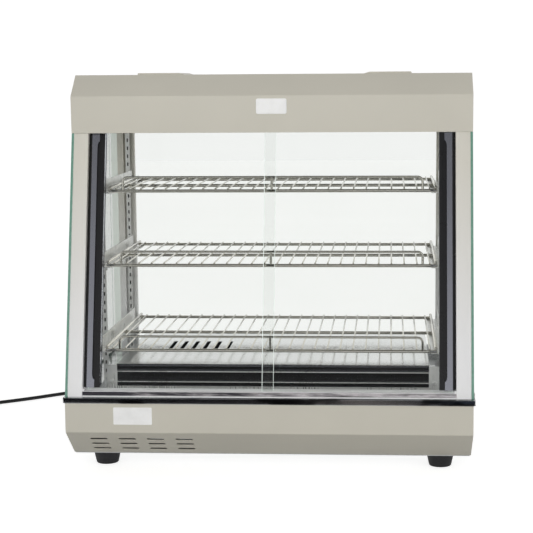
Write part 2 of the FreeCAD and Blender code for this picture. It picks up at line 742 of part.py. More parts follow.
def switch_rocker(x):
    y = PIVOT_Y
    points = [(-11.4, y - 2), (0, y - 3.8), (11.4, y - 2), (11.4, y + 6.6), (0, y + 5.4), (-11.4, y + 6.6)]
    paddle = prism_xy([(x + px, py) for px, py in points], CONTROL_Z - 8.2, CONTROL_Z + 8.2)
    pin = cyl(1.5, (x, y, CONTROL_Z - 9.7), (x, y, CONTROL_Z + 9.7))
    rocker = fused([paddle, pin])
    rocker.rotate(V(x, y, CONTROL_Z), V(0, 0, 1), -ROCKER_TILT)
    return rocker


def pilot_lamp():
    y = BASE_BACK_Y
    body = cyl(5.0, (PILOT_X, y - 14, CONTROL_Z), (PILOT_X, y, CONTROL_Z))
    lens = cone(6.5, 5.0, (PILOT_X, y, CONTROL_Z), (PILOT_X, y + 3, CONTROL_Z))
    return fused([body, lens])


# ---- supply cord ----------------------------------------------------------------------
def cord_gland():
    y = BASE_BACK_Y
    at = (GLAND_X, GLAND_Z)
    parts = [
        cyl(7.5, (at[0], y - 9, at[1]), (at[0], y, at[1])),
        cyl(11.0, (at[0], y, at[1]), (at[0], y + 4, at[1])),
        cone(8.5, 5.0, (at[0], y + 4, at[1]), (at[0], GLAND_END_Y, at[1])),
    ]
    return fused(parts)


def coil_ring():
    section = [
        (COIL_R - COIL_BAND / 2, COIL_Z0 + 3),
        (COIL_R - COIL_BAND / 2 + 3, COIL_Z0),
        (COIL_R + COIL_BAND / 2 - 3, COIL_Z0),
        (COIL_R + COIL_BAND / 2, COIL_Z0 + 3),
        (COIL_R + COIL_BAND / 2, COIL_Z0 + COIL_H - 3),
        (COIL_R + COIL_BAND / 2 - 3, COIL_Z0 + COIL_H),
        (COIL_R - COIL_BAND / 2 + 3, COIL_Z0 + COIL_H),
        (COIL_R - COIL_BAND / 2, COIL_Z0 + COIL_H - 3),
    ]
    face = polygon_face([V(COIL_X + r, COIL_Y, z) for r, z in section])
    return face.revolve(V(COIL_X, COIL_Y, 0), V(0, 0, 1), 360)


def cord_coil():
    end = V(*CORD_POINTS[-1])
    run = (end - V(*CORD_POINTS[-2])).normalize()
    touch = end + run * LEAD_LEN
    lead = cyl(CORD_R, tuple(end), tuple(touch))
    tail = cyl(CORD_R, (TAIL_X, COIL_Y, TAIL_Z), (TAIL_X, TAIL_Y, TAIL_Z))
    return fused([coil_ring(), lead, tail])


def cord_tie():
    x0 = COIL_X - 4
    y0 = COIL_Y + COIL_R - COIL_BAND / 2 - 1.2
    y1 = COIL_Y + COIL_R + COIL_BAND / 2 + 1.2
    strap = box(x0, x0 + 8, y0, y1, 0, COIL_Z0 + COIL_H + 1.2)
    return strap.cut(coil_ring())


def cord_plug():
    x = TAIL_X
    y1 = TAIL_Y - 26
    body = box(x - 24, x + 24, y1 - 46, y1, 0, 23)
    upright = [e for e in body.Edges if e.BoundBox.ZLength > 5]
    body = body.makeFillet(7.0, upright)
    nose = cone(8.0, 4.2, (x, y1 - 1, TAIL_Z), (x, TAIL_Y, TAIL_Z))
    pins = [box(x - 2, x + 2, y1 - 38, y1 - 30, 22, 45)]
    for side in (-1, 1):
        pins.append(box(x + side * 11 - 3.2, x + side * 11 + 3.2, y1 - 14, y1 - 10, 22, 40))
    return fused([body, nose] + pins)


# ---- build ----------------------------------------------------------------------------
def main():
    export("base_shell", base_shell())
    export("bottom_plate", bottom_plate())
    export("feet", feet())
    export("foot_screws", foot_screws())
    export("trim_band", trim_band())
    export("well_pan", well_pan())
    export("plenum_body", plenum_body())
    export("plenum_deck", plenum_deck())
    export("plenum_screws", plenum_screws())
    export("heater_element", heater_element())
    export("heater_supports", heater_supports())
    export("lower_track", lower_track())
    export("upper_track", upper_track())
    export("rear_glass", rear_glass())
    export("rear_lower_rail", rear_rail(TRIM_Z1, 142.0, 134.0, 143.0))
    export("rear_upper_rail", rear_rail(538.5, CANOPY_Z0, 537.5, 547.0))
    export("glass_clips", glass_clips())
    export("canopy_shell", canopy_shell())
    export("canopy_liner", canopy_liner())
    export("lamp_tube", lamp_tube())
    export("lamp_sockets", lamp_sockets())
    export("badge_plate", badge_plate())
    export("rating_label", rating_label())
    export("thermostat_body", thermostat_body())
    export("thermostat_knob", thermostat_knob())
    export("light_switch_housing", switch_housing(LIGHT_X))
    export("light_rocker", switch_rocker(LIGHT_X))
    export("heat_switch_housing", switch_housing(HEAT_X))
    export("heat_rocker", switch_rocker(HEAT_X))
    export("pilot_lamp", pilot_lamp())
    export("cord_gland", cord_gland())
    export("supply_cord", bent_tube(CORD_POINTS, CORD_R, "cord"))
    export("cord_coil", cord_coil())
    export("cord_tie", cord_tie())
    export("cord_plug", cord_plug())
    export("door_right_glass", door_glass(-10.4, 294.0, FRONT_TRACK_D))
    export("door_right_handle", door_handle(FRONT_TRACK_D, 2.0))
    export("door_left_glass", door_glass(-294.0, 7.5, REAR_TRACK_D))
    export("door_left_handle", mirrored(door_handle(REAR_TRACK_D, 6.0)))
    for name, shape in (("front_post", front_post()), ("rear_post", rear_post()),
                        ("side_glass", side_glass()), ("roof_cover", roof_cover()),
                        ("front_standard", standard(STD_FRONT_Y, True)),
                        ("rear_standard", standard(STD_BACK_Y, False))):
        export(name + "_right", shape)
        export(name + "_left", mirrored(shape))
    for level in ("bottom", "middle", "top"):
        angle = bracket(level)
        export("bracket_" + level + "_right", angle)
        export("bracket_" + level + "_left", mirrored(angle))
        export("shelf_" + level, wire_shelf(level))


main()
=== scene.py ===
import math

import bmesh
import bpy
from mathutils import Matrix, Vector


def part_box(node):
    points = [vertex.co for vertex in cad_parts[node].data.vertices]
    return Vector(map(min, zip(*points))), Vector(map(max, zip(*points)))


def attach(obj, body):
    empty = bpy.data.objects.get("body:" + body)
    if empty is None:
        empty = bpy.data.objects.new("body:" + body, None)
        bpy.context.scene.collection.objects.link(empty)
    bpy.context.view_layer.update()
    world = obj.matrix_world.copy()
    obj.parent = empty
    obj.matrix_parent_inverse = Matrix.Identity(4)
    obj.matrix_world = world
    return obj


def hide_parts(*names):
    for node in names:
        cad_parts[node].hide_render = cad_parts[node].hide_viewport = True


bl_info = {
    "name": "Hot Food Display Case",
    "version": (1, 0, 0),
    "blender": (4, 5, 0),
    "location": "View3D > Sidebar > Display Case",
    "description": "Builds a heated glass display case, its stage and its camera around its CAD frame",
    "category": "Object",
}

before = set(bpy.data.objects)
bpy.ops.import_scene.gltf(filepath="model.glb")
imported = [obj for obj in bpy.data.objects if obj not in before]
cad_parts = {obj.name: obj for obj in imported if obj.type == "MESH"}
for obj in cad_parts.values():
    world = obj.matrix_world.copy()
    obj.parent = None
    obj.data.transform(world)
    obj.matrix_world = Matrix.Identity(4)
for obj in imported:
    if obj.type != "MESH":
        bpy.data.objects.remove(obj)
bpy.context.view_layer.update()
MM = 0.001
LEVEL = 1e-7       # two points this near in metres are at one level
SHARP = 35.0       # degrees between faces from which an edge counts as sharp


def linear(code):
    """A CSS colour code as linear RGBA."""
    channels = [int(code[i:i + 2], 16) / 255 for i in (1, 3, 5)]
    return tuple(c / 12.92 if c <= 0.04045 else ((c + 0.055) / 1.055) ** 2.4 for c in channels) + (1.0,)


def length(name, description, millimetres):
    return bpy.props.FloatProperty(
        name=name, description=description, default=millimetres * MM, min=0.0, unit="LENGTH",
        subtype="DISTANCE")


def colour(name, description, code):
    return bpy.props.FloatVectorProperty(
        name=name, description=description, default=linear(code), size=4, min=0.0, max=1.0, subtype="COLOR")


# ---- what a user may change --------------------------------------------------------------
class CaseSizes(bpy.types.PropertyGroup):
    bend_radius: length("Bend radius", "Outside radius of the folds in the painted sheets", 2.4)
    sheet: length("Sheet", "Thickness of the folded steel", 1.2)
    base_fold: length("Base fold", "Height above the base's foot where its panels fold inwards", 48.6)
    base_inset: length("Base inset", "How far the front sloping panel runs in", 62.5)
    base_back_inset: length("Back inset", "How far the back sloping panel runs in", 47.0)
    canopy_fold: length("Canopy fold", "Height of the canopy's upright band", 60.0)
    canopy_inset: length("Canopy inset", "How far the canopy's sloping band runs in", 41.9)
    vent_length: length("Vent length", "Length of a vent slot", 29.0)
    vent_width: length("Vent width", "Width of a vent slot", 7.0)
    vent_pitch: length("Vent pitch", "Distance between slots in a row", 46.5)
    vent_row: length("Vent rows", "Distance between rows of slots", 18.8)
    vent_start: length("First row", "Distance of the first row from the fold", 25.0)
    vent_side: length("Vent margin", "Distance of the first slot's middle from the side", 49.7)
    grip_side: length("Grip margin", "Distance of the finger groove from the profile's inner edge", 5.2)
    grip_width: length("Grip width", "Width of the finger groove in a door profile", 7.3)
    grip_end: length("Grip end", "Distance of the groove's end from the profile's end", 13.0)
    grip_depth: length("Grip depth", "Depth of the finger groove", 3.6)
    rod: length("Rod radius", "Radius of the shelves' cross rods", 2.75)
    wire: length("Wire radius", "Radius of the shelves' bar wires", 1.3)
    side_wire: length("Side wire radius", "Radius of the outermost wires", 2.7)
    guard: length("Guard radius", "Radius of the guard rails", 2.0)
    guard_rise: length("Guard rise", "Height of a guard rail over its shelf's rods", 22.6)
    guard_side: length("Guard margin", "Distance of a guard rail's leg from the shelf's end", 24.5)
    guard_bend: length("Guard bend", "Radius of the bends in the guard rails", 8.0)
    cord_radius: length("Cord radius", "Radius of the supply cord", 3.5)
    wires: bpy.props.IntProperty(name="Wires", description="Bar wires across each shelf", default=26, min=2)


class CaseColours(bpy.types.PropertyGroup):
    paint: colour("Paint", "Powder coat of the base and the canopy", "#D3CFC2")
    aluminium: colour("Aluminium", "Etched and anodised frame", "#FBFBFB")
    bright_rail: colour("Track face", "Bright front of the lower door track", "#DAD6D8")
    # dark tone of the painted reflection patches on the door track's front
    painted_reflection_dark: colour("Smears", "Dark smears on the door track", "#48464C")
    dark_profile: colour("Dark profile", "Dark anodised door profiles", "#ACAEB8")
    steel: colour("Steel", "Polished stainless steel", "#D2D4D6")
    # near-black colour painted on the plenum's front faces as dark reflection
    dark_reflection_tone: colour("Blued steel", "Heated front of the plenum", "#4A4B50")
    annealed_steel: colour("Annealed steel", "Bright sheet of the deck and the well", "#E2E3E3")
    galvanised: colour("Galvanised", "Spangled zinc sheet", "#C4C6C6")
    heater: colour("Heater", "Oxidised sheath of the heater", "#8A8078")
    pins: colour("Pins", "Nickel plated pins of the plug", "#CFC8B4")
    chrome: colour("Chrome", "Plated shelf wire", "#E2DFD6")
    zinc: colour("Zinc", "Zinc plated strip", "#F6F6F4")
    glass_edge: colour("Glass edge", "Cut edge of the clear glass", "#6F9E8C")
    # near-white tone of the door glass's edge, which also glows as painted light
    door_edge: colour("Door edge", "Polished edge of the door glass", "#EDF2EE")
    # pale tone of the flange, which also glows as painted light
    margin: colour("Bonded margin", "Flange under the bonded margin of the side glass", "#CDD3CD")
    lamp: colour("Lamp", "Coated lamp tube", "#F3F3EF")
    porcelain: colour("Porcelain", "Glazed lamp holders", "#E9E7E0")
    lens: colour("Lens", "Red lens of the pilot lamp", "#C22A1C")
    nylon: colour("Nylon", "Tie around the coiled cord", "#1B1B1D")
    plastic: colour("Plastic", "Black mouldings", "#17171A")
    label: colour("Label", "Blank label and plate", "#FDFDFC")


class StageSettings(bpy.types.PropertyGroup):
    lens: bpy.props.FloatProperty(
        name="Lens", description="Focal length of the camera", default=96.85, min=1.0, unit="CAMERA")
    camera_at: bpy.props.FloatVectorProperty(
        name="Camera place", description="Where the camera stands", default=(0.19327, -2.44457, 0.63211),
        size=3, unit="LENGTH", subtype="TRANSLATION")
    camera_yaw: bpy.props.FloatProperty(
        name="Yaw", description="Turn of the camera to the left", default=0.06151, unit="ROTATION",
        subtype="ANGLE")
    camera_pitch: bpy.props.FloatProperty(
        name="Pitch", description="Tilt of the camera downwards", default=0.13906, unit="ROTATION",
        subtype="ANGLE")
    camera_roll: bpy.props.FloatProperty(
        name="Roll", description="Roll of the camera", default=-0.00645, unit="ROTATION", subtype="ANGLE")
    shift: bpy.props.FloatVectorProperty(
        name="Shift", description="Shift of the lens as shares of the frame", default=(-0.0661, 0.0275),
        size=2, subtype="XYZ")
    key_power: bpy.props.FloatProperty(
        name="Key power", description="Power of the large soft light in front", default=34.0, min=0.0,
        unit="POWER")
    side_power: bpy.props.FloatProperty(
        name="Side power", description="Power of the soft light at the right", default=10.0, min=0.0,
        unit="POWER")
    backdrop: bpy.props.FloatProperty(
        name="Backdrop", description="Brightness of the white backdrop", default=1.02, min=0.0,
        subtype="FACTOR")
    floor_glow: bpy.props.FloatProperty(
        name="Floor glow", description="Light that the white floor gives of its own", default=0.77, min=0.0,
        subtype="FACTOR")
    floor_gloss: bpy.props.FloatProperty(
        name="Floor in mirrors", description="Light that the floor adds in mirrors", default=0.45, min=0.0,
        subtype="FACTOR")
    floor_dark: colour("Floor, darker", "Darker tone of the floor", "#BEBEBC")
    floor_light: colour("Floor, lighter", "Lighter tone of the floor", "#C6C6C4")


# ---- helpers -----------------------------------------------------------------------------
def main_output(node):
    return node.outputs[2 if node.bl_idname == "ShaderNodeMix" else 0]


def add(tree, kind, sockets=None, **settings):
    """A node of that kind; its sockets take values, outputs or nodes, which stand for their main output."""
    node = tree.nodes.new("ShaderNode" + kind)
    for key, value in settings.items():
        setattr(node, key, value)
    for key, value in (sockets or {}).items():
        if isinstance(value, bpy.types.Node):
            value = main_output(value)
        if isinstance(value, bpy.types.NodeSocket):
            tree.links.new(value, node.inputs[key])
        else:
            node.inputs[key].default_value = value
    return node


def fill_ramp(ramp, stops):
    """Sets a colour ramp's stops of (place, tone); a tone is one grey or three channels."""
    entries = ramp.color_ramp.elements
    while len(entries) < len(stops):
        entries.new(0.5)
    for entry, (at, tone) in zip(entries, stops):
        entry.position = at
        entry.color = (*tone, 1.0) if isinstance(tone, tuple) else (tone, tone, tone, 1.0)


def shade(base, factor):
    return tuple(c * factor for c in base[:3]) + (1.0,)


def prism(bm, ring_a, ring_b):
    """Closed solid between two matching rings of points."""
    a = [bm.verts.new(p) for p in ring_a]
    b = [bm.verts.new(p) for p in ring_b]
    count = len(a)
    for i in range(count):
        j = (i + 1) % count
        bm.faces.new((a[i], a[j], b[j], b[i]))
    bm.faces.new(list(reversed(a)))
    bm.faces.new(b)


def rectangle(x0, x1, y0, y1):
    """Its four corners, anticlockwise."""
    return [(x0, y0), (x1, y0), (x1, y1), (x0, y1)]


def block(bm, low, high):
    outline = rectangle(low[0], high[0], low[1], high[1])
    prism(bm, [(x, y, low[2]) for x, y in outline], [(x, y, high[2]) for x, y in outline])


def along_x(bm, outline, x0, x1):
    prism(bm, [(x0, y, z) for y, z in outline], [(x1, y, z) for y, z in outline])


def rounded(outline, radius, steps=5):
    """Outline with each corner turned into an arc; radius is one number or one for each corner."""
    count = len(outline)
    radii = radius if isinstance(radius, (list, tuple)) else [radius] * count
    made = []
    for i in range(count):
        corner = Vector(outline[i])
        before = (Vector(outline[i - 1]) - corner).normalized()
        after = (Vector(outline[(i + 1) % count]) - corner).normalized()
        if radii[i] <= 0:
            made.append(tuple(corner))
            continue
        half = before.angle(after) / 2
        back = radii[i] / math.tan(half)
        centre = corner + (before + after).normalized() * (radii[i] / math.sin(half))
        first = (corner + before * back - centre).normalized()
        last = (corner + after * back - centre).normalized()
        for k in range(steps + 1):
            made.append(tuple(centre + first.slerp(last, k / steps) * radii[i]))
    return made


def inset(outline, distance):
    """Outline moved inwards on every side; its points run anticlockwise."""
    count = len(outline)
    made = []
    for i in range(count):
        p, q, r = Vector(outline[i - 1]), Vector(outline[i]), Vector(outline[(i + 1) % count])
        u, v = (q - p).normalized(), (r - q).normalized()
        n = Vector((-u.y, u.x)) + Vector((-v.y, v.x))
        made.append(tuple(q + n * (distance / (1 + u.dot(v)))))
    return made


def stadium(half_length, half_width, steps=7):
    """Outline of a slot with round ends, long way along the first axis."""
    made = []
    run = half_length - half_width
    for side in (1, -1):
        for k in range(steps + 1):
            a = -math.pi / 2 + math.pi * k / steps
            made.append((side * (run + half_width * math.cos(a)), side * half_width * math.sin(a)))
    return made


def slot_cutter(bm, centre, along, across, outline, depth):
    """Cutter of that outline through a sheet at centre."""
    along, across, centre = Vector(along), Vector(across), Vector(centre)
    normal = along.cross(across).normalized() * depth
    ring = [centre + along * u + across * v for u, v in outline]
    prism(bm, [p - normal for p in ring], [p + normal for p in ring])


def tube(bm, path, radius, sides=14, round_ends=True):
    """Round bar through the path's points, with domed ends."""
    path = [Vector(p) for p in path]
    if round_ends:
        start, end = (path[1] - path[0]).normalized(), (path[-1] - path[-2]).normalized()
        dome = [(0.0, 0.45), (0.25, 0.8), (0.7, 1.0)]
        stations = [(path[0] + start * radius * h, radius * w) for h, w in dome]
        stations += [(p, radius) for p in path[1:-1]]
        stations += [(path[-1] - end * radius * h, radius * w) for h, w in reversed(dome)]
    else:
        stations = [(p, radius) for p in path]
    across = None
    rings = []
    for i, (centre, wide) in enumerate(stations):
        near, far = stations[max(i - 1, 0)][0], stations[min(i + 1, len(stations) - 1)][0]
        run = (far - near).normalized()
        if across is None:
            across = run.orthogonal().normalized()
        across = (across - run * across.dot(run)).normalized()
        other = run.cross(across)
        rings.append([bm.verts.new(centre + across * wide * math.cos(a) + other * wide * math.sin(a))
                      for a in (2 * math.pi * k / sides for k in range(sides))])
    for a, b in zip(rings, rings[1:]):
        for k in range(sides):
            bm.faces.new((a[k], a[(k + 1) % sides], b[(k + 1) % sides], b[k]))
    bm.faces.new(list(reversed(rings[0])))
    bm.faces.new(rings[-1])


def lathe(bm, profile, place, steps=40, axis="Z"):
    """Solid of revolution; profile is (radius, height) from its low middle to its high middle."""
    turn = Matrix.Identity(3) if axis == "Z" else Matrix(((1, 0, 0), (0, 0, 1), (0, -1, 0)))
    rings = []
    for radius, height in profile:
        ring = []
        for k in range(steps):
            a = 2 * math.pi * k / steps
            point = Vector((radius * math.cos(a), radius * math.sin(a), height))
            ring.append(bm.verts.new(Vector(place) + turn @ point))
        rings.append(ring)
    for a, b in zip(rings, rings[1:]):
        for k in range(steps):
            bm.faces.new((a[k], a[(k + 1) % steps], b[(k + 1) % steps], b[k]))
    bm.faces.new(list(reversed(rings[0])))
    bm.faces.new(rings[-1])


def round_rims(bm, axis, width):
    """Rounds the edges that lie square to an axis."""
    rims = [e for e in bm.edges if abs(getattr(e.verts[0].co - e.verts[1].co, axis)) < LEVEL]
    bmesh.ops.bevel(bm, geom=rims, offset=width, segments=3, profile=0.5, affect="EDGES")


def chamfer(bm, width):
    """Narrow chamfer on every edge of a sheet of glass."""
    bmesh.ops.bevel(bm, geom=bm.edges[:], offset=width, segments=1, profile=0.5, affect="EDGES")


def store(obj, bm):
    """Writes the faces that were built into an object."""
    bmesh.ops.recalc_face_normals(bm, faces=bm.faces[:])
    bm.to_mesh(obj.data)
    bm.free()


def mesh_object(name, bm):
    obj = bpy.data.objects.new(name, bpy.data.meshes.new(name))
    store(obj, bm)
    bpy.context.scene.collection.objects.link(obj)
    return obj


def carve(obj, cutters):
    """Cuts closed solids out of an object."""
    tool = mesh_object("cutter", cutters)
    change = obj.modifiers.new("cut", "BOOLEAN")
    change.operation = "DIFFERENCE"
    change.solver = "EXACT"
    change.object = tool
    bpy.context.view_layer.update()
    result = bpy.data.meshes.new_from_object(obj.evaluated_get(bpy.context.evaluated_depsgraph_get()))
    obj.modifiers.clear()
    old, obj.data = obj.data, result
    bpy.data.meshes.remove(old)
    bpy.data.objects.remove(tool)
    if not result.polygons:
        raise RuntimeError(obj.name + " was cut away")


def centre_of(node):
    """Middle of a CAD node's box."""
    low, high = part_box(node)
    return (low + high) / 2


def smooth(obj, degrees=SHARP):
    """Smooth shading up to that angle between faces."""
    for face in obj.data.polygons:
        face.use_smooth = True
    obj.data.set_sharp_from_angle(angle=math.radians(degrees))


def soften(obj, width, segments=2, degrees=SHARP):
    """Small rounds on the sharp edges."""
    for face in obj.data.polygons:
        face.use_smooth = True
    change = obj.modifiers.new("arris", "BEVEL")
    change.width = width
    change.segments = segments
    change.limit_method = "ANGLE"
    change.angle_limit = math.radians(degrees)
    change.harden_normals = True


def coat(obj, *materials):
    for material in materials:
        obj.data.materials.append(material)


def settle(obj, material, body, nodes):
    """Gives a piece its material, its body and the CAD nodes that it stands for."""
    if not obj.data.materials:
        coat(obj, material)
    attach(obj, body)
    if nodes:
        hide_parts(*nodes)
    return obj


def recoat(node, material):
    """Puts a material on a CAD node whose shape stays."""
    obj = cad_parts[node]
    if not obj.material_slots:
        coat(obj, material)
    for entry in obj.material_slots:
        entry.material = material


def paint(maker, *colours):
    """The material that this function describes, made once and named after it."""
    material = bpy.data.materials.get(maker.__name__)
    if not material:
        material = bpy.data.materials.new(maker.__name__)
        material.use_nodes = True
        tree = material.node_tree
        tree.nodes.clear()
        place = add(tree, "TexCoord").outputs["Object"]
        shader = maker(tree, place, *colours)
        add(tree, "OutputMaterial", {"Surface": shader})
    return material


# ---- materials ---------------------------------------------------------------------------
def powder_coated_steel(tree, place, base):
    # polyester powder baked on folded sheet: even satin colour with a soft orange peel
    peel = add(tree, "TexNoise", {"Vector": place, "Scale": 1 / (2.2 * MM), "Detail": 2.0})
    cloud = add(tree, "TexNoise", {"Vector": place, "Scale": 1 / (110 * MM), "Detail": 3.0})
    tint = add(tree, "Mix", {0: cloud, 6: shade(base, 0.955), 7: shade(base, 1.035)}, data_type="RGBA")
    gloss = add(tree, "MapRange", {"Value": peel, "From Min": 0.3, "From Max": 0.7, "To Min": 0.36,
                                   "To Max": 0.46})
    relief = add(tree, "Bump", {"Height": peel, "Distance": 0.05 * MM, "Strength": 0.5})
    return add(tree, "BsdfPrincipled", {"Base Color": tint, "Roughness": gloss, "IOR": 1.5, "Normal": relief})


# painted shade: the posts' colour is darker and yellower higher up and lighter low down, standing in for the
# light that is brighter low down
PAINTED_TOP_SHADE = (0.86, 0.83, 0.74, 1.0)
TOP_SHADE_FROM, TOP_SHADE_TO = 0.20, 0.50      # heights between which it comes in


def drawn_metal(tree, place, base, direction, grain, rough, relief_depth, spread=0.06, tone=0.04,
                metallic=1.0, top=None):
    """Metal with fine lines along one direction, grain mm apart; top is the painted shade that it takes
    higher up.
    """
    stretch = [1.0, 1.0, 1.0]
    stretch["XYZ".index(direction)] = 0.012
    turned = add(tree, "Mapping", {"Vector": place, "Scale": stretch})
    lines = add(tree, "TexNoise", {"Vector": turned, "Scale": 1 / (grain * MM), "Detail": 3.0})
    cloud = add(tree, "TexNoise", {"Vector": place, "Scale": 1 / (70 * MM), "Detail": 2.0})
    tint = add(tree, "Mix", {0: lines, 6: shade(base, 1 - tone), 7: shade(base, 1 + tone)}, data_type="RGBA")
    # painted shade: the colour is multiplied towards the top tone between these heights
    if top:
        parts = add(tree, "SeparateXYZ", {"Vector": place})
        rise = add(tree, "MapRange", {"Value": parts.outputs["Z"], "From Min": TOP_SHADE_FROM,
                                      "From Max": TOP_SHADE_TO})
        painted_height_shade = add(tree, "Mix", {0: rise, 6: (1.0, 1.0, 1.0, 1.0), 7: top}, data_type="RGBA")
        tint = add(tree, "Mix", {0: 1.0, 6: tint, 7: painted_height_shade}, data_type="RGBA", blend_type="MULTIPLY")
    worn = add(tree, "Math", {0: lines, 1: cloud}, operation="ADD")
    gloss = add(tree, "MapRange", {"Value": worn, "From Min": 0.7, "From Max": 1.3, "To Min": rough - spread,
                                   "To Max": rough + spread})
    relief = add(tree, "Bump", {"Height": lines, "Distance": relief_depth * MM, "Strength": 0.4})
    return add(tree, "BsdfPrincipled", {"Base Color": tint, "Metallic": metallic, "Roughness": gloss,
                                        "Normal": relief})


def etched_anodised_aluminium(tree, place, base):
    # extruded, etched and anodised: pale satin with die lines along its length and a cloudy oxide that
    # scatters part of the light, with painted shade that makes it a little darker and yellower higher up
    return drawn_metal(tree, place, base, "Z", grain=1.2, rough=0.48, relief_depth=0.012, spread=0.06,
                       tone=0.02, metallic=0.35, top=PAINTED_TOP_SHADE)


def anodised_aluminium_rail(tree, place, base):
    # the same extrusion lying along the case, with the same cloudy oxide
    return drawn_metal(tree, place, base, "X", grain=1.2, rough=0.36, relief_depth=0.012, spread=0.06,
                       tone=0.03, metallic=0.45)


def scuffed_rail_painted_reflection(tree, place, base, painted_reflection_dark):
    # bright-dipped track worn by the doors: patches of haze in its roughness, and dark patches 20 to 60 mm
    # long in its colour that are painted reflection
    parts = add(tree, "SeparateXYZ", {"Vector": place})
    stretched = add(tree, "Mapping", {"Vector": place, "Scale": (0.12, 1.0, 1.0)})
    reflection_and_haze = add(tree, "TexNoise", {"Vector": stretched, "Scale": 1 / (5 * MM), "Detail": 4.0,
                                    "Roughness": 0.65})
    # painted side light: the colour grows darker towards the left and lighter towards the right
    painted_side_light = add(tree, "MapRange", {"Value": parts.outputs["X"], "From Min": -0.30, "From Max": 0.24,
                                   "To Min": -0.12, "To Max": 0.1})
    amount = add(tree, "Math", {0: reflection_and_haze, 1: painted_side_light}, operation="ADD")
    share = add(tree, "MapRange", {"Value": amount, "From Min": 0.36, "From Max": 0.66})
    tone = add(tree, "Mix", {0: share, 6: shade(painted_reflection_dark, 1.0), 7: shade(base, 1.0)}, data_type="RGBA")
    gloss = add(tree, "MapRange", {"Value": reflection_and_haze, "To Min": 0.08, "To Max": 0.28})
    return add(tree, "BsdfPrincipled", {"Base Color": tone, "Metallic": 1.0, "Roughness": gloss})


def clouded_steel_painted_reflection(tree, place, base):
    # mirror-polished strip whose polish has clouded in slanting patches 30 to 80 mm long; the dark and light
    # patches in its colour are painted reflection
    turned = add(tree, "Mapping", {"Vector": place, "Scale": (0.35, 1.0, 1.0), "Rotation": (0.0, 0.9, 0.0)})
    clouds_and_reflections = add(tree, "TexNoise", {"Vector": turned, "Scale": 1 / (26 * MM), "Detail": 2.0})
    share = add(tree, "MapRange", {"Value": clouds_and_reflections, "From Min": 0.44, "From Max": 0.50})
    tone = add(tree, "Mix", {0: share, 6: shade(base, 0.2), 7: shade(base, 0.75)}, data_type="RGBA")
    gloss = add(tree, "MapRange", {"Value": clouds_and_reflections, "To Min": 0.04, "To Max": 0.16})
    return add(tree, "BsdfPrincipled", {"Base Color": tone, "Metallic": 1.0, "Roughness": gloss})


def painted_dark_reflection_steel(tree, place, base):
    # polished plate whose colour is painted near-black as dark reflection: a near-black mirror
    return drawn_metal(tree, place, base, "X", grain=1.5, rough=0.07, relief_depth=0.002, spread=0.03,
                       tone=0.10)


def bright_annealed_steel(tree, place, base):
    # soft bright sheet of the deck and the well: pale, slightly cloudy mirror
    return drawn_metal(tree, place, base, "X", grain=2.0, rough=0.13, relief_depth=0.003, spread=0.05,
                       tone=0.03)


def dark_anodised_aluminium(tree, place, base):
    # dyed anodised door profile: dark satin metal that still mirrors the room softly
    return drawn_metal(tree, place, base, "Z", grain=0.9, rough=0.22, relief_depth=0.006, spread=0.04,
                       tone=0.05)


def polished_stainless_steel(tree, place, base):
    # rolled and buffed sheet: a clear mirror with faint buffing lines, drawn 1.5 mm apart to show
    return drawn_metal(tree, place, base, "X", grain=1.5, rough=0.09, relief_depth=0.002, spread=0.035,
                       tone=0.02)


def chrome_plated_wire(tree, place, base):
    # drawn mild steel wire with bright chrome: sharp highlights and slight dulling
    return drawn_metal(tree, place, base, "X", grain=2.5, rough=0.12, relief_depth=0.002, spread=0.05,
                       tone=0.03)


def zinc_plated_strip(tree, place, base):
    # rolled strip with bright zinc under a pale passivation film: soft mirror with some scattered light
    return drawn_metal(tree, place, base, "Z", grain=1.0, rough=0.30, relief_depth=0.006, spread=0.06,
                       tone=0.04, metallic=0.6)


def galvanised_sheet(tree, place, base):
    # hot-dip zinc: crystal spangle about 7 mm across, matt and mottled
    spangle = add(tree, "TexVoronoi", {"Vector": place, "Scale": 1 / (7 * MM)})
    tone = add(tree, "Mix", {0: spangle.outputs["Color"], 6: shade(base, 0.86), 7: shade(base, 1.1)},
               data_type="RGBA")
    gloss = add(tree, "MapRange", {"Value": spangle.outputs["Color"], "To Min": 0.36, "To Max": 0.58})
    return add(tree, "BsdfPrincipled", {"Base Color": tone, "Metallic": 1.0, "Roughness": gloss})


def moulded_plastic(tree, place, base, rough, grain, relief_depth):
    """Opaque moulding with a fine texture, grain mm apart."""
    texture = add(tree, "TexNoise", {"Vector": place, "Scale": 1 / (grain * MM), "Detail": 3.0})
    wear = add(tree, "TexNoise", {"Vector": place, "Scale": 1 / (18 * MM), "Detail": 4.0})
    tone = add(tree, "Mix", {0: wear, 6: shade(base, 0.86), 7: shade(base, 1.14)}, data_type="RGBA")
    gloss = add(tree, "MapRange", {"Value": wear, "From Min": 0.3, "From Max": 0.7, "To Min": rough - 0.05,
                                   "To Max": rough + 0.07})
    relief = add(tree, "Bump", {"Height": texture, "Distance": relief_depth * MM, "Strength": 0.5})
    return add(tree, "BsdfPrincipled", {"Base Color": tone, "Roughness": gloss, "IOR": 1.49,
                                        "Normal": relief})


def oxidised_heater_tube(tree, place, base):
    # heater sheath that has glowed: dull brown-grey oxide, streaked along the tube
    return drawn_metal(tree, place, base, "X", grain=2, rough=0.45, relief_depth=0.01, spread=0.08, tone=0.2)


def nickel_plated_brass(tree, place, base):
    # stamped pins under warm bright nickel: soft mirror with press lines
    return drawn_metal(tree, place, base, "Z", grain=1, rough=0.25, relief_depth=0.004)


def nylon_tie(tree, place, base):
    # moulded nylon strap: black with a low sheen
    return moulded_plastic(tree, place, base, rough=0.36, grain=1.0, relief_depth=0.01)


def nitrile_rubber(tree, place, base):
    # compression moulded: soft dull black with a dusty bloom
    return moulded_plastic(tree, place, base, rough=0.62, grain=0.9, relief_depth=0.03)


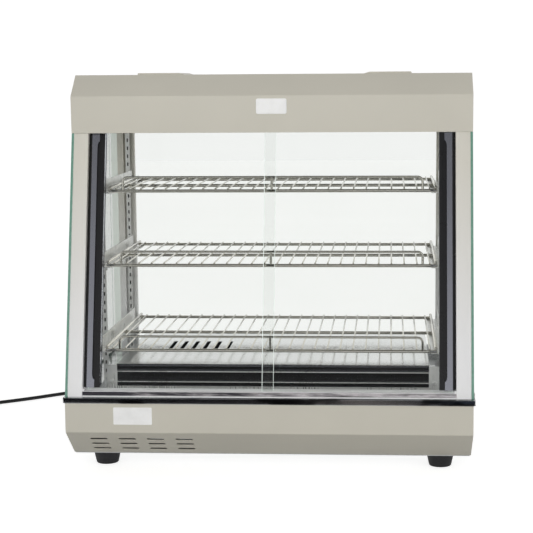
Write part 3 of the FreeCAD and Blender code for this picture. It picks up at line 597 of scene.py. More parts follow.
def pvc_sheath(tree, place, base):
    # extruded soft PVC: smooth low sheen
    return moulded_plastic(tree, place, base, rough=0.42, grain=1.4, relief_depth=0.02)


def abs_moulding(tree, place, base):
    # injection moulded ABS: semi-gloss with a fine grain; it also serves as painted shade in the door grooves
    # and behind the standards' slots
    return moulded_plastic(tree, place, base, rough=0.3, grain=0.8, relief_depth=0.015)


def polyester_label(tree, place, base):
    # smooth white polyester film, left blank
    return moulded_plastic(tree, place, base, rough=0.34, grain=2.0, relief_depth=0.004)


def glazed_porcelain(tree, place, base):
    # cast ceramic lamp holders: hard white glaze with faint pits
    return moulded_plastic(tree, place, base, rough=0.22, grain=3.0, relief_depth=0.01)


def red_polycarbonate(tree, place, base):
    # clear red lens over the pilot lamp
    ribs = add(tree, "TexWave", {"Vector": place, "Scale": 1 / (12 * MM)})
    relief = add(tree, "Bump", {"Height": ribs.outputs["Fac"], "Distance": 0.1 * MM, "Strength": 0.6})
    return add(tree, "BsdfPrincipled", {"Base Color": base, "Roughness": 0.12, "IOR": 1.585,
                                        "Transmission Weight": 0.35, "Normal": relief})


def soda_lime_float_glass(tree, place, clear=0.981):
    # clear soda-lime sheet: passes nearly all light, mirrors more at a slant
    draw = add(tree, "TexNoise", {"Vector": place, "Scale": 1 / (60 * MM), "Detail": 1.0})
    relief = add(tree, "Bump", {"Height": draw, "Distance": 0.02 * MM, "Strength": 0.3})
    tint = add(tree, "Mix", {0: draw, 6: (clear - 0.006, clear, clear - 0.006, 1.0),
                             7: (clear + 0.002, clear + 0.006, clear + 0.002, 1.0)}, data_type="RGBA")
    through = add(tree, "BsdfTransparent", {"Color": tint})
    mirror = add(tree, "BsdfGlossy", {"Color": (0.36, 0.37, 0.365, 1.0), "Roughness": 0.02, "Normal": relief})
    slant = add(tree, "Fresnel", {"IOR": 1.52})
    side = add(tree, "NewGeometry")
    outer = add(tree, "Math", {0: 1.0, 1: side.outputs["Backfacing"]}, operation="SUBTRACT")
    share = add(tree, "Math", {0: slant, 1: outer}, operation="MULTIPLY", use_clamp=True)
    return add(tree, "MixShader", {0: share, 1: through, 2: mirror})


def side_float_glass(tree, place):
    # the side panes are looked at through their whole depth, so they take away a little more light
    return soda_lime_float_glass(tree, place, 0.95)


def ground_glass_edge(tree, place, base):
    # the cut edge gathers light through the sheet's iron tint: soft green, lightly ground
    chips = add(tree, "TexNoise", {"Vector": place, "Scale": 1 / (5 * MM), "Detail": 3.0})
    tone = add(tree, "Mix", {0: chips, 6: shade(base, 0.72), 7: shade(base, 1.25)}, data_type="RGBA")
    return add(tree, "BsdfPrincipled", {"Base Color": tone, "Roughness": 0.28, "IOR": 1.52})


def polished_glass_edge(tree, place, base):
    # flat polished edge of a door's glass: nearly white with a painted glow, its emission standing in for
    # light led along the sheet
    chips = add(tree, "TexNoise", {"Vector": place, "Scale": 1 / (9 * MM), "Detail": 2.0})
    tone = add(tree, "Mix", {0: chips, 6: shade(base, 0.88), 7: shade(base, 1.05)}, data_type="RGBA")
    return add(tree, "BsdfPrincipled", {"Base Color": tone, "Roughness": 0.12, "IOR": 1.52,
                                        "Emission Color": (0.9, 1.0, 0.96, 1.0), "Emission Strength": 0.4})


def bonded_glass_margin(tree, place, base):
    # flange under the bonded margin of the side glass: pale green with a painted glow, its emission standing
    # in for light trapped in the sheet
    haze = add(tree, "TexNoise", {"Vector": place, "Scale": 1 / (30 * MM), "Detail": 3.0})
    tone = add(tree, "Mix", {0: haze, 6: shade(base, 0.94), 7: shade(base, 1.04)}, data_type="RGBA")
    return add(tree, "BsdfPrincipled", {"Base Color": tone, "Roughness": 0.35, "IOR": 1.52,
                                        "Emission Color": (0.94, 1.0, 0.95, 1.0), "Emission Strength": 0.28})


def opal_glass(tree, place, base):
    # phosphor-coated lamp tube: milky white
    return moulded_plastic(tree, place, base, rough=0.18, grain=6.0, relief_depth=0.002)


def white_floor(tree, place, stage):
    # matt white sheet, lit a little from within so that it meets the backdrop without a line
    scuffs = add(tree, "TexNoise", {"Vector": place, "Scale": 1.6, "Detail": 2.0})
    tone = add(tree, "Mix", {0: scuffs, 6: shade(stage.floor_dark, 1.0), 7: shade(stage.floor_light, 1.0)},
               data_type="RGBA")
    ray = add(tree, "LightPath")
    glossy = add(tree, "Math", {0: ray.outputs["Is Glossy Ray"], 1: stage.floor_gloss}, operation="MULTIPLY")
    glow = add(tree, "Math", {0: ray.outputs["Is Camera Ray"], 1: stage.floor_glow, 2: glossy},
               operation="MULTIPLY_ADD")
    return add(tree, "BsdfPrincipled", {"Base Color": tone, "Roughness": 0.8,
                                        "Emission Color": (1.0, 1.0, 1.0, 1.0), "Emission Strength": glow})


def dark_card(tree, place):
    # near-black card with one warm grey patch, which gives the polished steel its dark bands
    parts = add(tree, "SeparateXYZ", {"Vector": place})
    across = add(tree, "MapRange", {"Value": parts.outputs["X"], "From Min": -0.45, "From Max": 0.75})
    ramp = add(tree, "ValToRGB", {"Fac": across})
    fill_ramp(ramp, [(0.0, (0.008, 0.008, 0.010)), (0.38, (0.02, 0.018, 0.018)), (0.52, (0.17, 0.15, 0.14)),
                     (0.68, (0.03, 0.032, 0.038)), (0.84, (0.03, 0.045, 0.07)), (1.0, (0.02, 0.025, 0.04))])
    return add(tree, "Emission", {"Color": ramp})


# ---- stage -------------------------------------------------------------------------------
class StageOperator(bpy.types.Operator):
    """Sets up the camera, the soft lights, the pale floor and the white room"""
    bl_idname = "display_case.stage"
    bl_label = "Stage"

    def execute(self, context):
        stage = context.scene.case_stage
        scene = context.scene
        scene.view_settings.view_transform = "Standard"
        self.camera(scene, stage)
        self.floor(stage)
        self.card()
        self.lights(scene, stage)
        self.room(scene, stage)
        return {"FINISHED"}

    def camera(self, scene, stage):
        data = bpy.data.cameras.new("camera")
        data.sensor_width = 36.0
        data.lens = stage.lens
        data.shift_x, data.shift_y = stage.shift
        data.clip_start, data.clip_end = 0.05, 60.0
        yaw, pitch, roll = stage.camera_yaw, stage.camera_pitch, stage.camera_roll
        ahead = Vector((-math.sin(yaw) * math.cos(pitch), math.cos(yaw) * math.cos(pitch), -math.sin(pitch)))
        right = Vector((math.cos(yaw), math.sin(yaw), 0.0))
        up = right.cross(ahead)
        side = right * math.cos(roll) + up * math.sin(roll)
        top = -right * math.sin(roll) + up * math.cos(roll)
        turn = Matrix((side, top, -ahead)).transposed().to_4x4()
        camera = bpy.data.objects.new("camera", data)
        scene.collection.objects.link(camera)
        camera.matrix_world = Matrix.Translation(stage.camera_at) @ turn
        scene.camera = camera

    def floor(self, stage):
        bm = bmesh.new()
        bmesh.ops.create_grid(bm, x_segments=8, y_segments=8, size=9.0)
        floor = mesh_object("floor", bm)
        coat(floor, paint(white_floor, stage))

    def card(self):
        """A dark sheet on the floor in front that only mirrors can see"""
        bm = bmesh.new()
        over_floor = 0.002
        bm.faces.new([bm.verts.new((x, y, over_floor)) for x, y in rectangle(-3.0, 3.0, -2.4, -0.58)])
        card = mesh_object("dark_card", bm)
        coat(card, paint(dark_card))
        card.visible_camera = False
        card.visible_diffuse = False
        card.visible_shadow = False
        card.visible_transmission = False

    def lights(self, scene, stage):
        middle = Vector((0.0, 0.0, 0.3))
        places = (("key_light", (-0.5, -3.4, 1.15), 2.4, stage.key_power),
                  ("side_light", (2.6, -2.0, 0.9), 1.6, stage.side_power))
        for name, place, size, power in places:
            data = bpy.data.lights.new(name, "AREA")
            data.shape = "SQUARE"
            data.size = size
            data.energy = power
            lamp = bpy.data.objects.new(name, data)
            lamp.location = place
            lamp.rotation_mode = "QUATERNION"
            lamp.rotation_quaternion = (middle - Vector(place)).to_track_quat("-Z", "Y")
            lamp.visible_camera = False
            lamp.visible_glossy = False
            scene.collection.objects.link(lamp)

    def room(self, scene, stage):
        world = bpy.data.worlds.new("white_room")
        world.use_nodes = True
        tree = world.node_tree
        tree.nodes.clear()
        look = add(tree, "TexCoord").outputs["Generated"]
        parts = add(tree, "SeparateXYZ", {"Vector": look})
        height = add(tree, "MapRange", {"Value": parts.outputs["Z"], "From Min": -0.2, "From Max": 1.0})
        ramp = add(tree, "ValToRGB", {"Fac": height})
        fill_ramp(ramp, [(0.0, 0.70), (0.20, 0.95), (0.34, 1.0), (0.46, 0.62), (0.62, 0.36), (1.0, 0.30)])
        lean = add(tree, "MapRange", {"Value": parts.outputs["X"], "From Min": -1.0, "From Max": 1.0,
                                      "To Min": 0.94, "To Max": 1.08})
        lit = add(tree, "Background", {"Color": ramp, "Strength": lean})
        # what mirrors see: a bright band low in the room, a dim ceiling and a white wall behind
        glint = add(tree, "ValToRGB", {"Fac": height})
        fill_ramp(glint, [(0.0, 0.5), (0.17, 0.9), (0.20, 1.05), (0.30, 0.8), (0.40, 0.62), (0.46, 0.36),
                          (0.54, 0.18), (1.0, 0.08)])
        behind = add(tree, "MapRange", {"Value": parts.outputs["Y"], "From Min": 0.1, "From Max": 0.5})
        wall = add(tree, "Mix", {0: behind, 6: glint, 7: (0.95, 0.95, 0.95, 1.0)}, data_type="RGBA")
        mirrored = add(tree, "Background", {"Color": wall, "Strength": lean})
        seen = add(tree, "Background", {"Color": (1.0, 1.0, 1.0, 1.0), "Strength": stage.backdrop})
        ray = add(tree, "LightPath")
        room = add(tree, "MixShader", {0: ray.outputs["Is Glossy Ray"], 1: lit, 2: mirrored})
        both = add(tree, "MixShader", {0: ray.outputs["Is Camera Ray"], 1: room, 2: seen})
        add(tree, "OutputWorld", {"Surface": both})
        scene.world = world


# ---- supply cord -------------------------------------------------------------------------
class SupplyCordOperator(bpy.types.Operator):
    """Makes the supply cord with its coil of spare length, its gland, its tie and its plug"""
    bl_idname = "display_case.supply_cord"
    bl_label = "Supply cord"

    def execute(self, context):
        sizes = context.scene.case_sizes
        colours = context.scene.case_colours
        route = [(-250.0, 232.0, 92.0), (-250.0, 276.0, 92.0), (-262.0, 318.0, 44.0), (-285.0, 368.0, 9.0),
                 (-330.0, 410.0, 3.6), (-396.0, 425.0, 3.6), (-459.0, 391.0, 3.6), (-528.0, 330.0, 3.6),
                 (-604.0, 279.0, 3.6), (-650.0, 240.0, 4.2), (-662.5, 194.7, 4.7)]
        points = [Vector(p) * MM for p in route] + self.coil(sizes)
        curve = bpy.data.curves.new("supply_cord", "CURVE")
        curve.dimensions = "3D"
        curve.resolution_u = 10
        curve.bevel_depth = sizes.cord_radius
        curve.bevel_resolution = 5
        curve.use_fill_caps = True
        line = curve.splines.new("NURBS")
        line.points.add(len(points) - 1)
        for place, point in zip(points, line.points):
            point.co = (*place, 1.0)
        line.order_u = 3
        line.use_endpoint_u = True
        cord = bpy.data.objects.new("supply_cord_flex", curve)
        context.scene.collection.objects.link(cord)
        sheath = paint(pvc_sheath, shade(colours.plastic, 0.8))
        settle(cord, sheath, "case", ("supply_cord", "cord_coil"))
        rubber = paint(nitrile_rubber, colours.plastic)
        gland = self.gland(rubber)
        tie = self.tie(colours)
        plug = self.plug(colours)
        return {"FINISHED"}

    def coil(self, sizes):
        """Four neat turns in two layers, wound inwards and then out again, and the end towards the plug"""
        centre = Vector((-0.716, 0.172))
        pull = 0.975                      # a smooth line through ring points runs this much inside them
        wide, narrow = 0.0455, 0.0315
        lower, upper = 0.0047, 0.0117     # heights of the two layers' middles
        start = math.radians(8)
        turns, each = 4, 14
        climb = (2.0, 2.28)               # the turns over which it rises on to the second layer
        made = []
        for k in range(turns * each - 1):
            t = k / each
            if t <= climb[0]:
                radius, z = wide + (narrow - wide) * t / climb[0], lower
            elif t < climb[1]:
                radius = narrow
                z = lower + (upper - lower) * (t - climb[0]) / (climb[1] - climb[0])
            else:
                radius, z = narrow + (wide - narrow) * (t - climb[1]) / (turns - climb[1]), upper
            a, reach = start - 2 * math.pi * t, radius / pull
            made.append(Vector((centre.x + reach * math.cos(a), centre.y + reach * math.sin(a), z)))
        tail_x = centre.x + wide
        for y in (0.182, 0.165, 0.150, 0.136, 0.122):
            made.append(Vector((tail_x, y, upper)))
        return made

    def gland(self, rubber):
        """Tapered strain relief with a flange and soft rings"""
        low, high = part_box("cord_gland")
        middle = centre_of("cord_gland")
        start = 0.201                          # outer face of the back panel
        profile = [(7.5, low.y - start), (7.5, -0.0002), (11.0, 0.0), (11.0, 0.003), (10.2, 0.004),
                   (8.5, 0.0042)]
        steps = 7
        for k in range(steps):
            near = 0.006 + 0.025 * k / steps
            radius = 8.4 - 3.0 * k / steps
            profile += [(radius, near), (radius - 0.1, near + 0.0016), (radius - 1.0, near + 0.0022),
                        (radius - 1.0, near + 0.0032)]
        profile += [(4.6, high.y - start)]
        bm = bmesh.new()
        lathe(bm, [(r * MM, h) for r, h in profile], (middle.x, start, middle.z), 32, "Y")
        gland = mesh_object("strain_relief", bm)
        smooth(gland, 50)
        return settle(gland, rubber, "case", ("cord_gland",))

    def tie(self, colours):
        """Nylon strap around the coil with its square head"""
        low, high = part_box("cord_tie")
        bm = bmesh.new()
        ring = rounded(rectangle(low.y, high.y, low.z, high.z), 4.0 * MM)
        x0, x1 = low.x + 2.4 * MM, high.x - 2.4 * MM
        strap = 0.9 * MM
        inner = inset(ring, strap)
        loops = [[bm.verts.new((x, y, z)) for y, z in points] for x, points in
                 ((x0, ring), (x1, ring), (x1, inner), (x0, inner))]
        count = len(ring)
        for a, b in zip(loops, loops[1:] + loops[:1]):
            for k in range(count):
                bm.faces.new((a[k], a[(k + 1) % count], b[(k + 1) % count], b[k]))
        block(bm, (low.x + 1 * MM, low.y + 8 * MM, high.z - 4.2 * MM),
              (high.x - 1 * MM, low.y + 13 * MM, high.z))
        tie = mesh_object("coil_tie", bm)
        soften(tie, 0.25 * MM)
        return settle(tie, paint(nylon_tie, colours.nylon), "case", ("cord_tie",))

    def plug(self, colours):
        """Moulded mains plug lying on its flat back with its three pins up"""
        low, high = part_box("cord_plug")
        middle = (low.x + high.x) / 2
        body_y1 = low.y + 46 * MM
        bm = bmesh.new()
        outline = [(low.x, low.y), (high.x, low.y), (high.x - 3 * MM, body_y1), (low.x + 3 * MM, body_y1)]
        ring = rounded(outline, 8 * MM, 7)
        top = 23 * MM
        prism(bm, [(x, y, low.z) for x, y in ring], [(x, y, top) for x, y in ring])
        plug = mesh_object("mains_plug", bm)
        bm = bmesh.new()
        for k in range(5):
            y = low.y + (12 + 6 * k) * MM
            for side in (low.x, high.x):
                block(bm, (side - 1.1 * MM, y, 5 * MM), (side + 1.1 * MM, y + 2.6 * MM, 18 * MM))
        carve(plug, bm)
        bm = bmesh.new()
        bm.from_mesh(plug.data)
        nose = [(8.4, -1), (7.8, 4), (6.4, 5), (6.4, 7), (6.8, 8), (5.6, 14), (5.0, 15), (5.0, 17), (5.4, 18),
                (4.4, 25)]
        lathe(bm, [(r * MM, h * MM) for r, h in nose], (middle, body_y1, 11.7 * MM), 28, "Y")
        store(plug, bm)
        soften(plug, 0.8 * MM, 3)
        settle(plug, paint(abs_moulding, colours.plastic), "case", ("cord_plug",))
        bm = bmesh.new()
        block(bm, (middle - 2 * MM, body_y1 - 38 * MM, 22 * MM), (middle + 2 * MM, body_y1 - 30 * MM, high.z))
        for side in (-1, 1):
            x = middle + side * 11 * MM
            block(bm, (x - 3.2 * MM, body_y1 - 14 * MM, 22 * MM), (x + 3.2 * MM, body_y1 - 10 * MM, 40 * MM))
        pins = mesh_object("plug_pins", bm)
        soften(pins, 0.8 * MM)
        settle(pins, paint(nickel_plated_brass, colours.pins), "case", ())
        return plug


# ---- base --------------------------------------------------------------------------------
def folded_shell(name, outline, hollow, folded, low, high, sizes):
    """Sheet folded along X; its inside follows hollow, and folded is 1 at the corners that are bends."""
    bm = bmesh.new()
    along_x(bm, rounded(outline, [sizes.bend_radius * bend for bend in folded]), low.x, high.x)
    round_rims(bm, "x", 1.1 * MM)
    shell = mesh_object(name, bm)
    bm = bmesh.new()
    along_x(bm, rounded(inset(hollow, sizes.sheet), [sizes.bend_radius / 2 * bend for bend in folded]),
            low.x + sizes.sheet, high.x - sizes.sheet)
    carve(shell, bm)
    return shell


class BaseOperator(bpy.types.Operator):
    """Makes the folded base with its vents, the polished band around it, the plate under it and the feet"""
    bl_idname = "display_case.base"
    bl_label = "Base"

    def execute(self, context):
        sizes = context.scene.case_sizes
        colours = context.scene.case_colours
        powder = paint(powder_coated_steel, colours.paint)
        zinc = paint(zinc_plated_strip, colours.zinc)
        self.shell(sizes, powder)
        self.band(sizes, paint(clouded_steel_painted_reflection, colours.steel))
        self.feet(colours)
        recoat("bottom_plate", paint(galvanised_sheet, colours.galvanised))
        recoat("foot_screws", zinc)
        return {"FINISHED"}

    def shell(self, sizes, powder):
        low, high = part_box("base_shell")
        fold = low.z + sizes.base_fold
        outline = [(low.y, high.z), (low.y, fold), (low.y + sizes.base_inset, low.z),
                   (high.y - sizes.base_back_inset, low.z), (high.y, fold), (high.y, high.z)]
        shell = folded_shell("base_cabinet", outline, outline, (0, 1, 1, 1, 1, 0), low, high, sizes)
        bm = bmesh.new()
        self.vents(bm, sizes, low, fold)
        within, without = 4 * MM, 2 * MM       # a cutter's reach to either side of the back panel
        switch = Vector((14.3, 0.0, 10.3)) * MM
        for node in ("light_switch_housing", "heat_switch_housing"):
            m = centre_of(node)
            block(bm, (m.x - switch.x, high.y - within, m.z - switch.z),
                  (m.x + switch.x, high.y + without, m.z + switch.z))
        for node, radius in (("thermostat_knob", 6.0), ("pilot_lamp", 5.3), ("cord_gland", 7.9)):
            m = centre_of(node)
            lathe(bm, [(radius * MM, -within), (radius * MM, without)], (m.x, high.y, m.z), 28, "Y")
        foot_y = high.y - sizes.base_back_inset - 12 * MM
        block(bm, (low.x + 14 * MM, -foot_y, low.z - 2 * MM), (high.x - 14 * MM, foot_y, low.z + 2 * MM))
        block(bm, (low.x + 31 * MM, low.y + 30 * MM, high.z - 3 * MM),
              (high.x - 31 * MM, high.y - 30 * MM, high.z + 2 * MM))
        carve(shell, bm)
        soften(shell, 0.3 * MM, 2, 40)
        settle(shell, powder, "case", ("base_shell",))

    def vents(self, bm, sizes, low, fold):
        down = Vector((0.0, sizes.base_inset, -sizes.base_fold)).normalized()
        outline = stadium(sizes.vent_length / 2, sizes.vent_width / 2)
        for row in range(3):
            middle = Vector((0.0, low.y, fold)) + down * (sizes.vent_start + sizes.vent_row * row)
            for column in range(4):
                x = low.x + sizes.vent_side + sizes.vent_pitch * column
                slot_cutter(bm, (x, middle.y, middle.z), (1, 0, 0), down, outline, 4 * MM)

    def band(self, sizes, steel):
        low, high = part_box("trim_band")
        ring = rounded(rectangle(low.x, high.x, low.y, high.y), 2 * MM, 7)
        bm = bmesh.new()
        prism(bm, [(x, y, low.z) for x, y in ring], [(x, y, high.z) for x, y in ring])
        round_rims(bm, "z", 0.45 * MM)
        band = mesh_object("steel_band", bm)
        bm = bmesh.new()
        block(bm, (low.x + 40 * MM, low.y + 40.5 * MM, low.z - 5 * MM),
              (high.x - 40 * MM, high.y - 28.5 * MM, high.z + 5 * MM))
        carve(band, bm)
        smooth(band, 40)
        settle(band, steel, "case", ("trim_band",))

    def feet(self, colours):
        low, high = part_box("feet")
        rubber = paint(nitrile_rubber, colours.plastic)
        top, foot, tall = 22.5 * MM, 18.6 * MM, high.z - low.z
        bore, recess = 2.8 * MM, 7.5 * MM
        profile = [(bore, 8 * MM), (recess, 8 * MM), (recess, 0.6 * MM), (8.1 * MM, 0.0),
                   (foot - 2.8 * MM, 0.0), (foot - 1.2 * MM, 0.35 * MM), (foot - 0.2 * MM, 1.4 * MM),
                   (foot + 0.15 * MM, 3.0 * MM), (foot + 3.6 * MM, tall - 4 * MM),
                   (top + 1.0 * MM, tall - 1.4 * MM), (top + 0.6 * MM, tall - 0.3 * MM),
                   (top - 0.2 * MM, tall), (bore, tall)]
        bm = bmesh.new()
        for x in (low.x + top, high.x - top):
            for y in (low.y + top, high.y - top):
                lathe(bm, profile, (x, y, 0.0), 48)
        feet = mesh_object("rubber_feet", bm)
        smooth(feet, 40)
        settle(feet, rubber, "case", ("feet",))


# ---- well and plenum ---------------------------------------------------------------------
class PlenumOperator(bpy.types.Operator):
    """Makes the sunken floor and the polished heater box with its recessed front and its slotted deck"""
    bl_idname = "display_case.plenum"
    bl_label = "Well and plenum"

    def execute(self, context):
        colours = context.scene.case_colours
        steel = paint(polished_stainless_steel, colours.steel)
        zinc = paint(zinc_plated_strip, colours.zinc)
        pale = paint(bright_annealed_steel, colours.annealed_steel)
        recoat("well_pan", pale)
        recoat("plenum_deck", pale)
        recoat("heater_element", paint(oxidised_heater_tube, colours.heater))
        recoat("heater_supports", paint(galvanised_sheet, colours.galvanised))
        self.body(steel, paint(painted_dark_reflection_steel, colours.dark_reflection_tone), zinc)
        self.screws(zinc)
        return {"FINISHED"}

    def body(self, steel, painted_dark_front, zinc):
        low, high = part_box("plenum_body")
        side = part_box("plenum_deck")[1].x - 0.6 * MM
        step = 2.4 * MM
        face_y = low.y + 1.8 * MM
        recess_top, recess_foot = 156.6 * MM, 138.0 * MM
        front = [(face_y, high.z), (face_y, recess_top), (face_y + step - 1 * MM, recess_top - 1.2 * MM),
                 (face_y + step, recess_foot + 1.2 * MM), (face_y, recess_foot), (face_y, low.z)]
        outline = front + [(high.y, low.z), (high.y, high.z)]
        bm = bmesh.new()
        rounds = [r * MM for r in (0.9, 0.6, 0.3, 0.3, 0.6, 0.0, 0.0, 0.9)]
        along_x(bm, rounded(outline, rounds, 4), -side, side)
        body = mesh_object("plenum_box", bm)
        bm = bmesh.new()
        gap = 8 * MM
        block(bm, (-side + gap, face_y + gap, low.z - 1 * MM), (side - gap, high.y - gap, high.z + 1 * MM))
        carve(body, bm)
        bm = bmesh.new()
        bm.from_mesh(body.data)
        for way in (-1, 1):
            x0, x1 = sorted((way * (side - 0.2 * MM), way * high.x))
            block(bm, (x0, face_y + 1 * MM, low.z), (x1, face_y + 2.2 * MM, high.z - 1 * MM))
        lip, beads = (126.4 * MM, 130 * MM), (154.4 * MM, 137.0 * MM)
        block(bm, (-side, low.y, lip[0]), (side, face_y + 0.2 * MM, lip[1]))
        for z in beads:
            block(bm, (-side, face_y - 0.9 * MM, z - 0.7 * MM), (side, face_y + 0.4 * MM, z + 0.7 * MM))
        store(body, bm)
        coat(body, steel, painted_dark_front, zinc)
        for face in body.data.polygons:
            c = face.center
            if c.y < face_y - 0.2 * MM or abs(c.x) > side + 1 * MM:
                face.material_index = 2
            # the front faces take the near-black painted reflection
            elif face.normal.y < -0.9:
                face.material_index = 1
        soften(body, 0.25 * MM, 2, 40)
        settle(body, steel, "case", ("plenum_body",))

    def screws(self, zinc):
        """Domed cross-head screws in the plenum's ears"""
        low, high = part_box("plenum_screws")
        z = (low.z + high.z) / 2
        profile = [(1.2, 0.0), (2.6, 0.25), (3.7, 0.8), (4.2, 1.5), (4.2, 2.2), (2.0, 2.3), (2.0, 11.0)]
        places = (low.x + 4.2 * MM, high.x - 4.2 * MM)
        bm = bmesh.new()
        for x in places:
            lathe(bm, [(r * MM, h * MM) for r, h in profile], (x, low.y, z), 28, "Y")
        screws = mesh_object("dome_screws", bm)
        arm, half_width = 2.2 * MM, 0.45 * MM
        for half_x, half_z in ((arm, half_width), (half_width, arm)):
            bm = bmesh.new()
            for x in places:
                block(bm, (x - half_x, low.y - 1 * MM, z - half_z),
                      (x + half_x, low.y + 0.9 * MM, z + half_z))
            carve(screws, bm)
        smooth(screws, 40)
        settle(screws, zinc, "case", ("plenum_screws",))


# ---- glazed frame ------------------------------------------------------------------------
def front_y(z):
    """Where the leaning front stands at that height."""
    low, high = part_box("front_post_right")
    post_depth = 0.030
    return low.y + (high.y - low.y - post_depth) * (z - low.z) / (high.z - low.z)


def depths(node):
    """Depths of a leaning node's front and back behind the leaning front."""
    low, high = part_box(node)
    return low.y - front_y(low.z), high.y - front_y(high.z)


def lean_profile(bm, outline, z0, z1):
    """Upright bar of (x, depth) points that follows the lean."""
    prism(bm, [(x, front_y(z0) + d, z0) for x, d in outline], [(x, front_y(z1) + d, z1) for x, d in outline])


class FrameOperator(bpy.types.Operator):
    """Makes the anodised posts, the door tracks, the rear rails and the small glass clips"""
    bl_idname = "display_case.frame"
    bl_label = "Frame"

    def execute(self, context):
        colours = context.scene.case_colours
        upright = paint(etched_anodised_aluminium, colours.aluminium)
        rail = paint(anodised_aluminium_rail, colours.aluminium)
        margin = paint(bonded_glass_margin, colours.margin)
        for side in ("left", "right"):
            self.front_post(side, upright)
            self.rear_post(side, upright, margin)
        self.lower_track(rail, paint(scuffed_rail_painted_reflection, colours.bright_rail, colours.painted_reflection_dark))
        for node in ("upper_track", "rear_lower_rail", "rear_upper_rail"):
            recoat(node, rail)
        recoat("glass_clips", paint(zinc_plated_strip, colours.zinc))
        return {"FINISHED"}

    def front_post(self, side, upright):
        node = "front_post_" + side
        low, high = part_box(node)
        bm = bmesh.new()
        lean_profile(bm, rounded(rectangle(low.x, high.x, *depths(node)), 1.2 * MM, 4), low.z, high.z)
        post = mesh_object("door_frame_post_" + side, bm)
        smooth(post)
        settle(post, upright, "case", (node,))

    def rear_post(self, side, upright, margin):
        """Corner post with its inner lip, and the flange bonded to the glass"""
        node = "rear_post_" + side
        low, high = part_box(node)
        sign = -1 if side == "left" else 1
        wide = max(abs(low.x), abs(high.x))
        bm = bmesh.new()

        def part(x0, x1, y0, y1):
            near, far = sorted((sign * x0, sign * x1))
            block(bm, (near, y0, low.z), (far, y1, high.z))
        part(wide - 27 * MM, wide - 15.5 * MM, low.y, high.y)
        part(wide - 45 * MM, wide - 26.8 * MM, high.y - 13 * MM, high.y - 1 * MM)
        part(wide - 15.7 * MM, wide, high.y - 3 * MM, high.y)
        post = mesh_object("rear_corner_post_" + side, bm)
        coat(post, upright, margin)
        for face in post.data.polygons:
            out = abs(face.center.x)
            # the outer faces take the glowing margin material, which is painted light
            if out > wide - 11 * MM or face.normal.y < -0.9 and out > wide - 15.6 * MM:
                face.material_index = 1
        soften(post, 0.4 * MM)
        settle(post, upright, "case", (node,))

    def lower_track(self, rail, bright):
        low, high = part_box("lower_track")
        front, back = depths("lower_track")
        bm = bmesh.new()

        def bar(d0, d1, z0, z1, e=0.0):
            y0, y1 = front_y(z0), front_y(z1)
            along_x(bm, [(y0 + d0, z0), (y0 + d1, z0), (y1 + d1, z1), (y1 + d0, z1)], low.x + e, high.x - e)
        bar(front, back, low.z, high.z)
        track = mesh_object("lower_door_track", bm)
        bm = bmesh.new()
        play = 0.6 * MM
        for node in ("door_right_glass", "door_left_glass"):
            d0, d1 = depths(node)
            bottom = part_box(node)[0].z - 0.3 * MM
            bar(d0 - play, d1 + play, bottom, high.z + 1 * MM, -1 * MM)
        carve(track, bm)
        # the lips stand lower than the end stops, and the front face is relieved between two bright edges
        bm = bmesh.new()
        lowered, stop = 3.6 * MM, 3 * MM
        bar(front - 1 * MM, back + 1 * MM, high.z - lowered, high.z + 1 * MM, stop)
        carve(track, bm)
        bm = bmesh.new()
        relief = (low.z + 1.9 * MM, high.z - 4.6 * MM)
        bar(front - 1 * MM, front + 0.7 * MM, relief[0], relief[1], -1 * MM)
        carve(track, bm)
        coat(track, rail, bright)
        for face in track.data.polygons:
            c = face.center
            if relief[0] < c.z < relief[1] and face.normal.y < -0.5 and c.y < front_y(c.z) + front + 1 * MM:
                face.material_index = 1
        soften(track, 0.3 * MM)
        settle(track, rail, "case", ("lower_track",))


def glaze(pane, broad, clear, edge):
    """Gives a sheet of glass its two materials; its narrow faces take edge, and broad is its normal."""
    coat(pane, clear, edge)
    for face in pane.data.polygons:
        bonded = broad.x > 0.9 and face.normal.y > 0.9
        face.material_index = 0 if bonded or abs(face.normal.dot(broad)) > 0.9 else 1


class PanesOperator(bpy.types.Operator):
    """Makes the fixed side and rear glass with their ground edges"""
    bl_idname = "display_case.panes"
    bl_label = "Fixed glass"

    def execute(self, context):
        colours = context.scene.case_colours
        clear = paint(soda_lime_float_glass)
        side_clear = paint(side_float_glass)
        edge = paint(ground_glass_edge, colours.glass_edge)
        for side in ("left", "right"):
            node = "side_glass_" + side
            low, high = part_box(node)
            bm = bmesh.new()
            along_x(bm, [(front_y(low.z), low.z), (high.y, low.z), (high.y, high.z),
                         (front_y(high.z), high.z)],
                    low.x, high.x)
            self.pane("side_pane_" + side, bm, Vector((1, 0, 0)), side_clear, edge, node)
        low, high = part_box("rear_glass")
        bm = bmesh.new()
        block(bm, low, high)
        self.pane("rear_pane", bm, Vector((0, 1, 0)), clear, edge, "rear_glass")
        return {"FINISHED"}

    def pane(self, name, bm, broad, clear, edge, node):
        chamfer(bm, 0.4 * MM)
        pane = mesh_object(name, bm)
        glaze(pane, broad, clear, edge)
        settle(pane, clear, "case", (node,))


